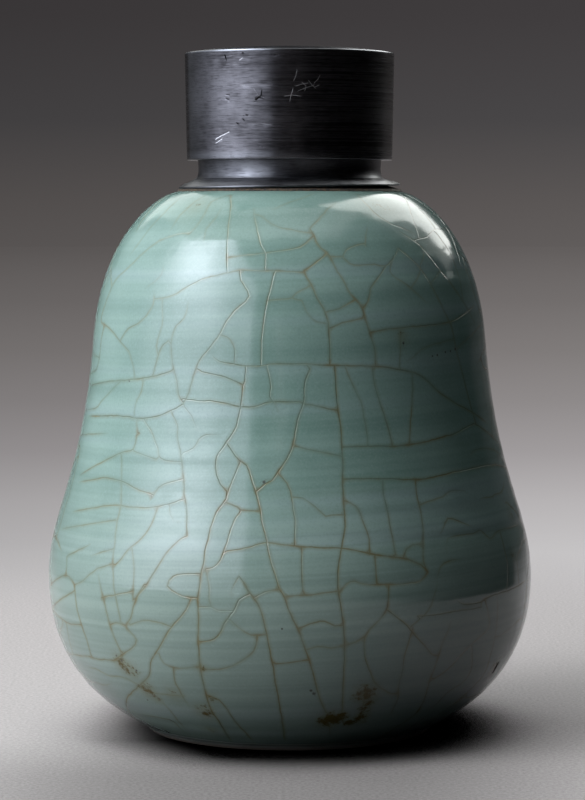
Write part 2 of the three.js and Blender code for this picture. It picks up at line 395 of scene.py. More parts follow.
# Iron stains in the glaze: photograph pixel, reach in millimetres and how dense the specks are
STAINS = [
    ((121, 664), 2.1, 0.95),
    ((130, 671), 2.2, 0.8),
    ((147, 691), 2.3, 0.85),
    ((156, 699), 1.5, 0.75),
    ((173, 695), 2.4, 0.5),
    ((201, 668), 1.2, 0.7),
    ((211, 699), 1.5, 0.6),
    ((205, 713), 2.6, 0.72),
    ((211, 731), 1.6, 0.6),
    ((331, 720), 2.7, 1.15),
    ((342, 717), 1.9, 1.0),
    ((367, 695), 2.6, 1.05),
    ((366, 708), 1.8, 1.0),
    ((360, 719), 1.9, 1.0),
    ((351, 723), 1.5, 1.0),
    ((495, 668), 1.6, 1.1),
    ((460, 700), 1.6, 0.6),
    ((197, 206), 2.6, 0.35),
    ((380, 205), 3.6, 0.35),
    ((403, 337), 1.6, 0.5),
    ((511, 513), 1.4, 0.6),
    ((514, 556), 1.2, 0.6),
]
SPECKS = [
    ((264, 482), 0.42),
    ((433, 356), 0.26),
    ((438, 355), 0.32),
    ((446, 352), 0.34),
    ((451, 351), 0.3),
    ((456, 349), 0.38),
    ((129, 381), 0.3),
    ((311, 691), 0.42),
    ((314, 694), 0.5),
    ((282, 629), 0.28),
    ((404, 343), 0.34),
    ((498, 664), 0.8),
    ((496, 668), 1.0),
    ((494, 672), 0.8),
    ((116, 656), 0.3),
    ((121, 661), 0.4),
    ((136, 671), 0.35),
    ((147, 701), 0.3),
]


def srgb(red, green, blue):
    """A colour written as 0 to 255 in sRGB, as linear light with alpha."""
    def linear(value):
        share = value / 255
        return share / 12.92 if share <= 0.04045 else ((share + 0.055) / 1.055) ** 2.4
    return (linear(red), linear(green), linear(blue), 1)


BLACK = (0, 0, 0, 1)
WHITE = (1, 1, 1, 1)


# Jar outline as curves in the half plane of radius and height


def reach(point, angle, distance):
    """A point off another one, at an angle in degrees above the outward direction."""
    turn = math.radians(angle)
    return (point[0] + math.cos(turn) * distance, point[1] + math.sin(turn) * distance)


def bezier(start, leave, arrive, end, steps):
    """Points on a cubic curve, with both of its ends."""
    share = np.linspace(0, 1, steps + 1)[:, None]
    rest = 1 - share
    return (np.array(start) * rest ** 3 + 3 * np.array(leave) * rest ** 2 * share
            + 3 * np.array(arrive) * rest * share ** 2 + np.array(end) * share ** 3)


LIP_RADIUS = MOUTH_RADIUS + LIP_WIDTH
LIP_HEIGHT = SEAT_HEIGHT + LIP_RISE
SEAT_SLOPE = LIP_RISE / (SEAT_RADIUS - LIP_RADIUS)
SEAT_ANGLE = math.degrees(math.atan(SEAT_SLOPE))


def seat_at(radius):
    """Height of the cone that the collar lies on."""
    return SEAT_HEIGHT + (SEAT_RADIUS - radius) * SEAT_SLOPE


def thrown_outline():
    """Foot to belly, belly to waist, waist to seat, and the seat's cone up to the lip."""
    foot = (FOOT_RADIUS, FOOT_HEIGHT)
    belly = (BELLY_RADIUS, BELLY_HEIGHT)
    waist = (WAIST_RADIUS, WAIST_HEIGHT)
    seat = (SEAT_RADIUS, SEAT_HEIGHT)
    lower = bezier(foot, reach(foot, FOOT_FLARE_ANGLE, FOOT_FLARE_REACH),
                   reach(belly, -90, BELLY_REACH_BELOW), belly, CURVE_STEPS)
    middle = bezier(belly, reach(belly, 90, BELLY_REACH_ABOVE),
                    reach(waist, WAIST_LEAN_ANGLE - 90, WAIST_REACH_BELOW), waist, CURVE_STEPS)
    upper = bezier(waist, reach(waist, WAIST_LEAN_ANGLE + 90, WAIST_REACH_ABOVE),
                   reach(seat, -SEAT_ANGLE, SEAT_REACH), seat, CURVE_STEPS)
    cone = np.linspace(seat, (LIP_RADIUS, LIP_HEIGHT), CONE_STEPS)
    return np.vstack([lower, middle[1:], upper[1:], cone[1:]])


outline = thrown_outline()
OUT_RADIUS = outline[:, 0]
OUT_HEIGHT = outline[:, 1]
steps_along = np.hypot(np.diff(OUT_RADIUS), np.diff(OUT_HEIGHT))
OUT_LENGTH = np.concatenate([[0], np.cumsum(steps_along)])
mean_radius = (OUT_RADIUS[1:] + OUT_RADIUS[:-1]) / 2
# The unrolled skin keeps its angles on a flat ring whose radius is the exponential of this
OUT_SPREAD = np.concatenate([[0], np.cumsum(steps_along / mean_radius)])
SKIN_LENGTH = OUT_LENGTH[-1]


def radius_at(along):
    """Outline radius at a length along it from the foot."""
    return np.interp(along, OUT_LENGTH, OUT_RADIUS)


def height_at(along):
    """Outline height at a length along it from the foot."""
    return np.interp(along, OUT_LENGTH, OUT_HEIGHT)


def ripple(angle, along):
    """Depth in millimetres of the throwing rings, which lean a little across the jar."""
    lean = along + RING_SWAY * np.sin(angle - 0.6)
    # Three waves of unlike lengths, so that no ring repeats another
    rings = (np.sin(lean * 1.43 + 0.8) * 0.5 + np.sin(lean * 0.93 + 2.1) * 0.35
             + np.sin(lean * 2.3 + 0.3 * np.sin(angle)) * 0.25)
    swell = 0.6 + 0.4 * np.sin(along * 0.11 + 2 * np.sin(angle + 1))
    wobble = OUT_OF_ROUND * np.sin(2 * angle + along * 0.04) + WARP * np.sin(3 * angle - along * 0.07)
    fade_out = np.clip((SKIN_LENGTH - SMOOTH_SHOULDER - along) / RINGS_FADE, 0, 1)
    share = np.clip(along / RINGS_GROW, 0, 1) * fade_out
    return (RING_DEPTH * (rings - 1.1) * swell + wobble - SKIN_SET_BACK) * share


def skin(angle, along):
    """Places on the glazed outside, in millimetres. Angle 0 faces the camera and grows to its right."""
    rise_r = radius_at(along + SLOPE_STEP) - radius_at(along - SLOPE_STEP)
    rise_z = height_at(along + SLOPE_STEP) - height_at(along - SLOPE_STEP)
    size = np.hypot(rise_r, rise_z)
    depth = ripple(angle, along)
    out = radius_at(along) + depth * rise_z / size
    height = height_at(along) - depth * rise_r / size
    return np.stack([out * np.sin(angle), -out * np.cos(angle), height], -1)


def skin_of(points):
    """Where each (angle, length along the outline) lies on the skin."""
    angle, along = np.array(points, float).T
    return skin(angle, along)


def skin_normal(angle, along):
    """Outward directions on the glazed outside, ripples included."""
    across = skin(angle + NORMAL_TURN, along) - skin(angle - NORMAL_TURN, along)
    low = np.clip(along - NORMAL_STEP, 0, SKIN_LENGTH)
    high = np.clip(along + NORMAL_STEP, 0, SKIN_LENGTH)
    upward = skin(angle, high) - skin(angle, low)
    normal = np.cross(across, upward)
    return normal / np.linalg.norm(normal, axis=-1, keepdims=True)


def seen_at(pixel, heights, radii):
    """The angle and height where the camera sees a turned form at a pixel, or None."""
    across = (pixel[0] - PHOTO_WIDTH / 2) / FOCAL_PIXELS
    upward = (PHOTO_HEIGHT / 2 - pixel[1]) / FOCAL_PIXELS
    forward = Vector((0, math.cos(CAMERA_PITCH), -math.sin(CAMERA_PITCH)))
    rise = Vector((0, math.sin(CAMERA_PITCH), math.cos(CAMERA_PITCH)))
    ray = np.array(Vector((1, 0, 0)) * across + rise * upward + forward)
    places = np.array(CAMERA_AT) + ray * SEARCH_DISTANCES
    outside = np.interp(places[:, 2], heights, radii, left=0, right=0)
    inside = np.hypot(places[:, 0], places[:, 1]) - outside < 0
    if not inside.any():
        return None
    x, y, z = places[int(np.argmax(inside))]
    return (math.atan2(x, -y), float(z))


def on_jar(pixel):
    """The place (angle, length along the outline) where the camera sees the jar at a pixel, or None."""
    found = seen_at(pixel, OUT_HEIGHT, OUT_RADIUS)
    return found and (found[0], float(np.interp(found[1], OUT_HEIGHT, OUT_LENGTH)))


# Crackle network


def curve_through(points, spacing):
    """A smooth line through the points, sampled at about the spacing in millimetres."""
    made = []
    last = len(points) - 1
    for i in range(last):
        before = points[max(i - 1, 0)]
        here = points[i]
        there = points[i + 1]
        after = points[min(i + 2, last)]
        radius = float(radius_at(here[1]))
        length = math.hypot((there[0] - here[0]) * radius, there[1] - here[1])
        steps = max(1, round(length / spacing))
        for k in range(steps):
            t = k / steps
            made.append(tuple(
                0.5 * (2 * here[j] + (there[j] - before[j]) * t
                       + (2 * before[j] - 5 * here[j] + 4 * there[j] - after[j]) * t * t
                       + (3 * here[j] - before[j] - 3 * there[j] + after[j]) * t ** 3)
                for j in (0, 1)))
    made.append(points[last])
    return made


def waver(points, rng):
    """A line that strays a little to either side of its way, and keeps its ends."""
    last = len(points) - 1
    stray = 0
    made = []
    for i, (angle, along) in enumerate(points):
        stray = stray * STRAY_KEPT + rng.gauss(0, CRACK_STRAY)
        ease = min(1, i / 3, (last - i) / 3)
        before, after = points[max(i - 1, 0)], points[min(i + 1, last)]
        radius = float(radius_at(along))
        across = (after[0] - before[0]) * radius
        upward = after[1] - before[1]
        size = max(math.hypot(across, upward), 1e-6)
        made.append((angle - upward / size * stray * ease / radius, along + across / size * stray * ease))
    return made


def lengthen(points, end, distance):
    """Carries a line straight on past one of its ends."""
    tip = points[end]
    before = points[-4] if end else points[3]
    radius = float(radius_at(tip[1]))
    across = (tip[0] - before[0]) * radius
    upward = tip[1] - before[1]
    size = math.hypot(across, upward)
    for k in range(1, round(distance / CRACK_SAMPLE) + 1):
        step = k * CRACK_SAMPLE / size
        place = (tip[0] + across / radius * step, tip[1] + upward * step)
        points.insert(len(points) if end else 0, place)


def read_cracks(rng):
    """The seen side's lines, with an end that nearly meets another line drawn on to it."""
    lines = []
    for strength, group in ((STRONG, STRONG_CRACKS), (MIDDLE, MIDDLE_CRACKS), (FAINT, FAINT_CRACKS)):
        for pixels in group:
            found = [on_jar(pixel) for pixel in pixels]
            points = [p for p in found if p is not None]
            if len(points) > 1:
                lines.append((strength, waver(curve_through(points, CRACK_SAMPLE), rng)))
    all_points = [p for _, points in lines for p in points]
    where = skin_of(all_points)
    owner = np.repeat(np.arange(len(lines)), [len(points) for _, points in lines])
    for k, (_, points) in enumerate(lines):
        others = np.nonzero(owner != k)[0]
        for end in (0, -1):
            gap = np.linalg.norm(where[others] - skin_of([points[end]]), axis=1)
            nearest = int(np.argmin(gap))
            if MET_ALREADY < gap[nearest] < CRACK_SNAP:
                points.insert(len(points) if end else 0, all_points[others[nearest]])
            elif abs(points[end][0]) > RUN_ON_ANGLE and len(points) > 4 and gap[nearest] > CRACK_SNAP:
                lengthen(points, end, RUN_ON)
    return lines


def grow_half(start, turn, most, cloud, seen, rng):
    """One way of a grown line, up to where it meets a line or leaves its part of the jar."""
    bend = rng.gauss(0, GROW_BEND)
    angle, along = start
    half = []
    for _ in range(int(rng.uniform(0.5, 1) * most / CRACK_STEP)):
        turn += bend + rng.gauss(0, GROW_WANDER)
        if rng.random() < GROW_KINK_SHARE:
            turn += rng.gauss(0, GROW_KINK)
        angle += CRACK_STEP * math.cos(turn) / float(radius_at(along))
        along += CRACK_STEP * math.sin(turn)
        too_far = along < RUN_MARGINS[0] or along > SKIN_LENGTH - RUN_MARGINS[1]
        if too_far or (not seen and abs(angle) < STOP_ANGLE):
            break
        half.append((angle, along))
        gap = np.linalg.norm(cloud - skin_of([half[-1]]), axis=1)
        nearest = int(np.argmin(gap))
        if gap[nearest] < MEETING_GAP:
            x, y, z = cloud[nearest]
            met = math.atan2(x, -y)
            met += math.tau * round((angle - met) / math.tau)
            half[-1] = (met, float(np.interp(z, OUT_HEIGHT, OUT_LENGTH)))
            break
    return half


def grow_cracks(lines, rng):
    """Lines for the sides and back. Each starts in an open cell and runs both ways until it meets a line."""
    cloud = np.vstack([skin_of(points) for _, points in lines])
    grown = []
    for strength, room, most in GROWTH:
        for _ in range(GROW_TRIES):
            start = (rng.uniform(-math.pi, math.pi),
                     rng.uniform(START_MARGINS[0], SKIN_LENGTH - START_MARGINS[1]))
            seen = abs(start[0]) < SEEN_ANGLE
            if seen and strength > FAINT:
                continue
            if np.min(np.linalg.norm(cloud - skin_of([start]), axis=1)) < (SEEN_ROOM if seen else room) / 2:
                continue
            upright = rng.random() < 0.5
            heading = rng.gauss(math.pi / 2 if upright else 0, HEADING_SPREAD)
            ahead = grow_half(start, heading, most, cloud, seen, rng)
            behind = grow_half(start, heading + math.pi, most, cloud, seen, rng)
            points = behind[::-1] + [start] + ahead
            if len(points) > 3:
                points = waver(curve_through(points, CRACK_SAMPLE), rng)
                grown.append((strength, points))
                cloud = np.vstack([cloud, skin_of(points)])
    return grown


def flat_place(angle, along):
    """Where a place on the skin lies on the flat ring, which keeps angles and has no seam."""
    spread = np.exp(np.interp(along, OUT_LENGTH, OUT_SPREAD) - OUT_SPREAD[-1])
    return np.stack([spread * np.cos(angle), spread * np.sin(angle)], -1)


def skin_place(flat):
    """The angle and the length along the outline of places on the flat ring."""
    spread = np.log(np.hypot(flat[:, 0], flat[:, 1])) + OUT_SPREAD[-1]
    return np.arctan2(flat[:, 1], flat[:, 0]), np.interp(spread, OUT_SPREAD, OUT_LENGTH)


def crack_edges(lines):
    """Each line and the two pairs of lines beside it, as points and edges on the flat ring."""
    points, edges = [], []
    for _, places in lines:
        angle, along = np.array(places, float).T
        along = np.clip(along, BORDER_MARGIN, SKIN_LENGTH - BORDER_MARGIN)
        centre = flat_place(angle, along)
        scale = np.hypot(centre[:, 0], centre[:, 1]) / radius_at(along)
        heading = np.gradient(centre, axis=0)
        size = np.maximum(np.linalg.norm(heading, axis=1, keepdims=True), 1e-12)
        side = np.stack([-heading[:, 1], heading[:, 0]], -1) / size * scale[:, None]
        for offset in (0, -CRACK_CORE, CRACK_CORE, -CRACK_HALO, CRACK_HALO):
            row = centre + side * offset
            edges.extend((len(points) + i, len(points) + i + 1) for i in range(len(row) - 1))
            points.extend(row.tolist())
    return points, edges


def tree_of(places, index=None):
    """A tree that finds the nearest place. It gives back a place's number in the index."""
    tree = KDTree(len(places))
    for i, place in enumerate(places):
        tree.insert(place, i if index is None else index[i])
    tree.balance()
    return tree


def nearest_crack(places, lines):
    """Millimetres from each place to the nearest line, that line's strength, and how far a knot is."""
    rows = [skin_of(points) for _, points in lines]
    owner = np.repeat(np.arange(len(rows)), [len(row) for row in rows])
    cloud = np.vstack(rows)
    starts, ends, strengths, knots = [], [], [], []
    for k, row in enumerate(rows):
        starts.append(row[:-1])
        ends.append(row[1:])
        steps = np.linalg.norm(np.diff(row, axis=0), axis=1)
        travel = np.cumsum(steps) - steps / 2
        strength = np.full(len(steps), lines[k][0])
        for end, run in ((0, travel), (-1, steps.sum() - travel)):
            if np.min(np.linalg.norm(cloud[owner != k] - row[end], axis=1)) > CRACK_SNAP / 2:
                strength *= np.clip(run / CRACK_FADE, FADED_SHARE, 1)
            elif lines[k][0] > FAINT:
                knots.append(row[end])
        strengths.append(strength)
    starts, ends, strengths = np.vstack(starts), np.vstack(ends), np.concatenate(strengths)
    tree = tree_of((starts + ends) / 2)
    knot_tree = tree_of(knots)
    index = np.array([[hit[1] for hit in tree.find_n(place, STRETCHES_TRIED)] for place in places])
    span = ends[index] - starts[index]
    length = np.maximum((span ** 2).sum(-1), 1e-9)
    share = np.clip((((places[:, None] - starts[index]) * span).sum(-1)) / length, 0, 1)
    gap = np.linalg.norm(starts[index] + span * share[..., None] - places[:, None], axis=-1)
    # A stronger line wins where two are about as near
    best = np.argmin(gap - strengths[index] * 0.02, axis=1)
    every = np.arange(len(places))
    knot = np.array([knot_tree.find(place)[2] for place in places])
    return np.minimum(gap[every, best], CRACK_FAR), strengths[index][every, best], knot


def speck_points():
    """The middle of each speck and two rings of points round it, on the flat ring."""
    points = []
    for pixel, size in SPECKS:
        angle, along = on_jar(pixel)
        middle = flat_place(np.array(angle), np.array(along))
        scale = float(np.hypot(*middle)) / float(radius_at(along))
        points.append(middle.tolist())
        for ring in (0.6, 1.0):
            for k in range(SPECK_SIDES):
                turn = math.tau * k / SPECK_SIDES
                points.append([middle[0] + math.cos(turn) * size * ring * scale,
                               middle[1] + math.sin(turn) * size * ring * scale])
    return points


def jar_skin(lines):
    """Skin places and triangles of the glazed outside, with the crackle in its edges."""
    points, edges = crack_edges(lines)
    points += speck_points()
    taken = tree_of(skin(*skin_place(np.array(points))))
    rows = round(SKIN_LENGTH / SKIN_ROW)
    turns = np.linspace(-math.pi, math.pi, SKIN_COLUMNS, endpoint=False)
    for row in range(rows + 1):
        along = np.full(SKIN_COLUMNS, SKIN_LENGTH * row / rows)
        ring = flat_place(turns, along)
        places = skin(turns, along)
        border = row in (0, rows)
        first = len(points)
        for k in range(SKIN_COLUMNS):
            if border or taken.find(places[k])[2] > SKIN_CLEARANCE:
                points.append(ring[k].tolist())
        if border:
            edges.extend((first + k, first + (k + 1) % SKIN_COLUMNS) for k in range(SKIN_COLUMNS))
    made = delaunay_2d_cdt([Vector(p) for p in points], edges, [], 0, 1e-7)
    flat = np.array([tuple(v) for v in made[0]])
    angle, along = skin_place(flat)
    along = np.clip(along, 0, SKIN_LENGTH)
    size = np.hypot(flat[:, 0], flat[:, 1])
    inner = size < math.exp(-OUT_SPREAD[-1]) * (1 + 1e-5)
    faces = [f for f in made[2] if not (inner[f[0]] and inner[f[1]] and inner[f[2]])]
    return angle, along, faces


# Meshes


def rounded(corners, steps=5):
    """A profile whose corners (radius, height, ease) are eased by that much."""
    made = []
    count = len(corners)
    for i, corner in enumerate(corners):
        here = np.array(corner[:2], float)
        ease = corner[2] if len(corner) > 2 else 0
        if not ease:
            made.append(tuple(here))
            continue
        before = np.array(corners[(i - 1) % count][:2], float)
        after = np.array(corners[(i + 1) % count][:2], float)
        start = here + (before - here) / np.linalg.norm(before - here) * ease
        end = here + (after - here) / np.linalg.norm(after - here) * ease
        for k in range(steps + 1):
            t = k / steps
            made.append(tuple(start * (1 - t) ** 2 + 2 * here * t * (1 - t) + end * t * t))
    return made


def revolved(profile, steps, closed=True):
    """Vertices in millimetres and faces of a profile turned round the axis, facing outwards."""
    verts, faces, rings = [], [], []
    for radius, height in profile:
        if radius < 1e-6:
            rings.append([len(verts)])
            verts.append((0, 0, height))
            continue
        rings.append(list(range(len(verts), len(verts) + steps)))
        for k in range(steps):
            turn = -math.pi + math.tau * k / steps
            verts.append((radius * math.sin(turn), -radius * math.cos(turn), height))
    pairs = list(zip(rings, rings[1:] + rings[:1])) if closed else list(zip(rings, rings[1:]))
    for low, high in pairs:
        for k in range(steps):
            after = (k + 1) % steps
            if len(low) == 1 and len(high) == 1:
                continue
            if len(low) == 1:
                faces.append((low[0], high[after], high[k]))
            elif len(high) == 1:
                faces.append((low[k], low[after], high[0]))
            else:
                faces.append((low[k], low[after], high[after], high[k]))
    return verts, faces


def join_turned(verts, faces, border, profile, steps):
    """Adds a turned profile to a mesh. Where it meets the border's vertices, it uses them."""
    tree = tree_of([verts[i] for i in border], border)
    more, more_faces = revolved(profile, steps, closed=False)
    index = []
    for place in more:
        _, near, gap = tree.find(place)
        if gap < 1e-3:
            index.append(near)
        else:
            index.append(len(verts))
            verts.append(place)
    faces.extend(tuple(index[i] for i in face) for face in more_faces)


def new_object(name, verts, faces):
    """A mesh object in metres from vertices in millimetres."""
    mesh = bpy.data.meshes.new(name)
    mesh.from_pydata([(x * MM, y * MM, z * MM) for x, y, z in verts], [], faces)
    mesh.validate()
    mesh.update()
    made = bpy.data.objects.new(name, mesh)
    bpy.context.scene.collection.objects.link(made)
    return made


def smooth(made, sharp_angle=38):
    """Shades an object smooth, apart from edges that turn by more than the angle in degrees."""
    made.data.shade_smooth()
    made.data.set_sharp_from_angle(angle=math.radians(sharp_angle))
    return made


def store(mesh, name, values, rest=0.0):
    """Keeps a number on each vertex. Vertices past the end of the values get the rest."""
    full = np.full(len(mesh.vertices), rest, np.float32)
    full[:len(values)] = values
    attribute = mesh.attributes.new(name, "FLOAT", "POINT")
    attribute.data.foreach_set("value", full)


# Materials


class Paint:
    """A node tree being put together. Each call adds one node and returns its output socket."""

    def __init__(self, tree):
        self.tree = tree

    def put(self, socket, value):
        if isinstance(value, bpy.types.NodeSocket):
            self.tree.links.new(value, socket)
        else:
            socket.default_value = value

    def node(self, kind, inputs=(), out=0, **settings):
        made = self.tree.nodes.new(kind)
        for key, value in settings.items():
            setattr(made, key, value)
        for key, value in dict(inputs).items():
            self.put(made.inputs[key], value)
        return made.outputs[out]

    def coords(self, kind="Object"):
        return self.node("ShaderNodeTexCoord", out=kind)

    def split(self, vector):
        """The three numbers of a place or direction."""
        made = self.tree.nodes.new("ShaderNodeSeparateXYZ")
        self.put(made.inputs[0], vector)
        return [made.outputs[axis] for axis in "XYZ"]

    def place(self, x=1.0, y=1.0, z=1.0, tilt=0.0):
        """Object coordinates, stretched along each axis. A tilt makes level marks rise to the right."""
        coords = self.coords()
        if tilt:
            across, deep, up = self.split(coords)
            up = self.math("MULTIPLY_ADD", across, -tilt, up)
            coords = self.node("ShaderNodeCombineXYZ", {"X": across, "Y": deep, "Z": up})
        return self.vector("MULTIPLY", coords, (x, y, z), out=0)

    def noise(self, vector, scale, detail=2.0, roughness=0.5):
        inputs = {"Vector": vector, "Scale": scale, "Detail": detail, "Roughness": roughness}
        return self.node("ShaderNodeTexNoise", inputs)

    def math(self, operation, a, b=0.0, c=0.0):
        return self.node("ShaderNodeMath", {0: a, 1: b, 2: c}, operation=operation)

    def vector(self, operation, a, b=(0, 0, 0), out="Value"):
        return self.node("ShaderNodeVectorMath", {0: a, 1: b}, out=out, operation=operation)

    def times(self, first, *others):
        """The product of numbers."""
        for other in others:
            first = self.math("MULTIPLY", first, other)
        return first

    def band(self, value, low, high, to_low=0.0, to_high=1.0):
        """A smooth step of the value from low to high."""
        inputs = {"Value": value, "From Min": low, "From Max": high, "To Min": to_low,
                  "To Max": to_high}
        return self.node("ShaderNodeMapRange", inputs, interpolation_type="SMOOTHSTEP")

    def mix(self, share, first, second, blend="MIX"):
        return self.node("ShaderNodeMix", {0: share, 6: first, 7: second}, out=2,
                         data_type="RGBA", blend_type=blend)

    def tint(self, colour, other, value, *steps):
        """The colour with another one mixed in by a smooth step of the value."""
        return self.mix(self.band(value, *steps), colour, other)

    def ramp(self, value, stops):
        """A colour that follows the stops, each a share and a colour."""
        made = self.tree.nodes.new("ShaderNodeValToRGB")
        self.put(made.inputs[0], value)
        elements = made.color_ramp.elements
        while len(elements) < len(stops):
            elements.new(0.5)
        for element, (position, colour) in zip(elements, stops):
            element.position = position
            element.color = colour
        return made.outputs[0]

    def grey_ramp(self, value, stops):
        """A number that follows the stops, each a value and a number."""
        low, high = stops[0][0], stops[-1][0]
        share = self.math("DIVIDE", self.math("SUBTRACT", value, low), high - low)
        return self.ramp(share, [((at - low) / (high - low), (level, level, level, 1))
                                 for at, level in stops])

    def read(self, name):
        """A number kept on the mesh's vertices."""
        return self.node("ShaderNodeAttribute", out="Fac", attribute_name=name)

    def bump(self, height, strength, distance, normal=None):
        inputs = {"Height": height, "Strength": strength, "Distance": distance}
        if normal is not None:
            inputs["Normal"] = normal
        return self.node("ShaderNodeBump", inputs)

    def light(self, kind, colour, strength):
        return self.node(kind, {"Color": colour, "Strength": strength})

    def blend(self, share, first, second):
        return self.node("ShaderNodeMixShader", {0: share, 1: first, 2: second})

    def show(self, shader, output="Material Output"):
        self.put(self.tree.nodes[output].inputs["Surface"], shader)


class Coat(Paint):
    """The material of a surface, on the standard shader."""

    def __init__(self, name, **values):
        self.material = bpy.data.materials.new(name)
        self.material.use_nodes = True
        super().__init__(self.material.node_tree)
        self.shader = self.tree.nodes["Principled BSDF"]
        self.finish(**values)

    def finish(self, **values):
        """Sets or links inputs of the shader, whose names have _ for a space."""
        for key, value in values.items():
            self.put(self.shader.inputs[key.replace("_", " ")], value)
        return self.material



GLAZE_ROUGHNESS = 0.14
CLAY_ROUGHNESS = 0.9


def glaze_ground(paint, height):
    """Grey-green glaze with throwing lines, which are finest low on the belly."""
    pale = srgb(144, 172, 168)
    deep = srgb(99, 131, 125)
    cloud = paint.band(paint.noise(paint.place(), 38, 3, 0.55), 0.3, 0.7)
    colour = paint.mix(0.6, paint.mix(cloud, deep, pale), srgb(122, 153, 147))
    broad = paint.noise(paint.place(3, 3, 150, RING_TILT), 1.0, 2, 0.5)
    colour = paint.tint(colour, deep, broad, 0.5, 0.64, 0, 0.5)
    colour = paint.tint(colour, srgb(142, 166, 170), broad, 0.5, 0.36, 0, 0.5)
    streak = paint.noise(paint.place(6, 6, 260, RING_TILT), 1.0, 3, 0.6)
    colour = paint.tint(colour, pale, streak, 0.42, 0.72, 0, 0.22)
    low_down = paint.times(paint.band(height, 0.006, 0.02), paint.band(height, 0.036, 0.056, 1, 0))
    lined = paint.math("MULTIPLY_ADD", low_down, 0.26, 0.1)
    fine = paint.noise(paint.place(9, 9, 1150, RING_TILT), 1.0, 1, 0.5)
    colour = paint.mix(paint.times(paint.band(fine, 0.45, 0.7), lined), colour, pale)
    colour = paint.mix(paint.times(paint.band(fine, 0.3, 0.5, 1, 0), lined), colour, deep)
    grain = paint.noise(paint.place(), 2300, 2, 0.7)
    colour = paint.tint(colour, deep, grain, 0.25, 0.5, 0.3, 0)
    colour = paint.tint(colour, pale, grain, 0.5, 0.75, 0, 0.3)
    ashy = srgb(147, 154, 150)
    return paint.tint(colour, ashy, height, 0.02, 0.065, 0.38, 0)


def glaze_crackle(paint, colour, gap, strength, height):
    """Stained lines: a soft halo, a thin core, and tan where lines meet. They are more yellow low down."""
    line = srgb(97, 112, 93)
    cream = srgb(150, 152, 128)
    olive = srgb(110, 106, 70)
    tan = srgb(112, 99, 64)
    wear = paint.noise(paint.place(), 700, 2, 0.6)
    ragged = paint.math("ADD", gap, paint.times(paint.math("SUBTRACT", wear, 0.5), 0.2))
    patch = paint.noise(paint.place(), 75, 3, 0.6)
    patch = paint.math("ADD", patch, paint.band(height, 0.03, 0.085, 0.22, 0))

    halo = paint.times(paint.band(ragged, 0, CRACK_HALO, 1, 0), strength, 0.34)
    seep = paint.tint(line, olive, patch, 0.42, 0.66)
    colour = paint.mix(halo, colour, seep)
    knot = paint.times(paint.band(paint.read("knot_gap"), 0.2, 1.7, 0.42, 0),
                       paint.band(patch, 0.45, 0.6))
    colour = paint.mix(paint.times(knot, paint.band(ragged, 0.05, 0.6, 1, 0)), colour, tan)

    fill = paint.tint(line, olive, patch, 0.53, 0.72)
    fill = paint.tint(fill, cream, patch, 0.46, 0.34, 0, 0.7)
    fill = paint.tint(fill, cream, height, 0.07, 0.1, 0, 0.6)
    fill = paint.mix(knot, fill, tan)
    uneven = paint.band(paint.noise(paint.place(), 150, 3, 0.65), 0.38, 0.6, 0.5, 1)
    core = paint.times(paint.band(ragged, 0.06, CRACK_CORE * 1.25, 1, 0), strength, 0.72, uneven)
    return paint.mix(core, colour, fill)


def glaze_stains(paint, colour, speck, bare):
    """Iron stains as yellowed clouds of flecks, then single specks and the unglazed foot, darkened to near
    black as painted shade.
    """
    stain = paint.read("stain")
    dust = paint.noise(paint.place(), 620, 4, 0.75)
    level = paint.math("SUBTRACT", 0.78, paint.times(stain, 0.44))
    fleck = paint.band(paint.math("SUBTRACT", dust, level), -0.1, 0.12)
    fleck = paint.times(fleck, paint.band(stain, 0.02, 0.3), 0.9)
    yellowed = srgb(114, 106, 58)
    rust = srgb(82, 68, 12)
    iron = srgb(30, 26, 16)
    # The unglazed foot's colour, darkened to near black as painted shade under the jar
    clay_in_painted_shade = srgb(44, 36, 29)
    colour = paint.mix(paint.times(stain, 0.55), colour, yellowed)
    colour = paint.mix(fleck, colour, rust)
    colour = paint.mix(paint.times(speck, 0.9), colour, iron)
    return paint.mix(bare, colour, clay_in_painted_shade)


def glaze():
    """Celadon glaze. It is glossy, and matt on specks and on the foot."""
    paint = Coat("celadon_glaze", IOR=1.5)
    height = paint.split(paint.coords())[2]
    gap = paint.read("crack_gap")
    strength = paint.read("crack_strength")
    speck = paint.read("speck")
    bare = paint.read("bare")
    colour = glaze_ground(paint, height)
    colour = glaze_crackle(paint, colour, gap, strength, height)
    colour = glaze_stains(paint, colour, speck, bare)
    rings = paint.noise(paint.place(9, 9, 900, RING_TILT), 1.0, 2, 0.5)
    shape = paint.bump(rings, 0.09, 0.0002)
    shape = paint.bump(paint.noise(paint.place(), 1600, 2, 0.5), 0.04, 0.0001, shape)
    groove = paint.times(paint.band(gap, 0, CRACK_CORE), strength)
    shape = paint.bump(groove, 0.6, 0.00006, shape)
    matt = paint.math("MAXIMUM", bare, speck)
    rough = paint.band(matt, 0, 1, GLAZE_ROUGHNESS, CLAY_ROUGHNESS)
    return paint.finish(Base_Color=colour, Normal=shape, Roughness=rough)


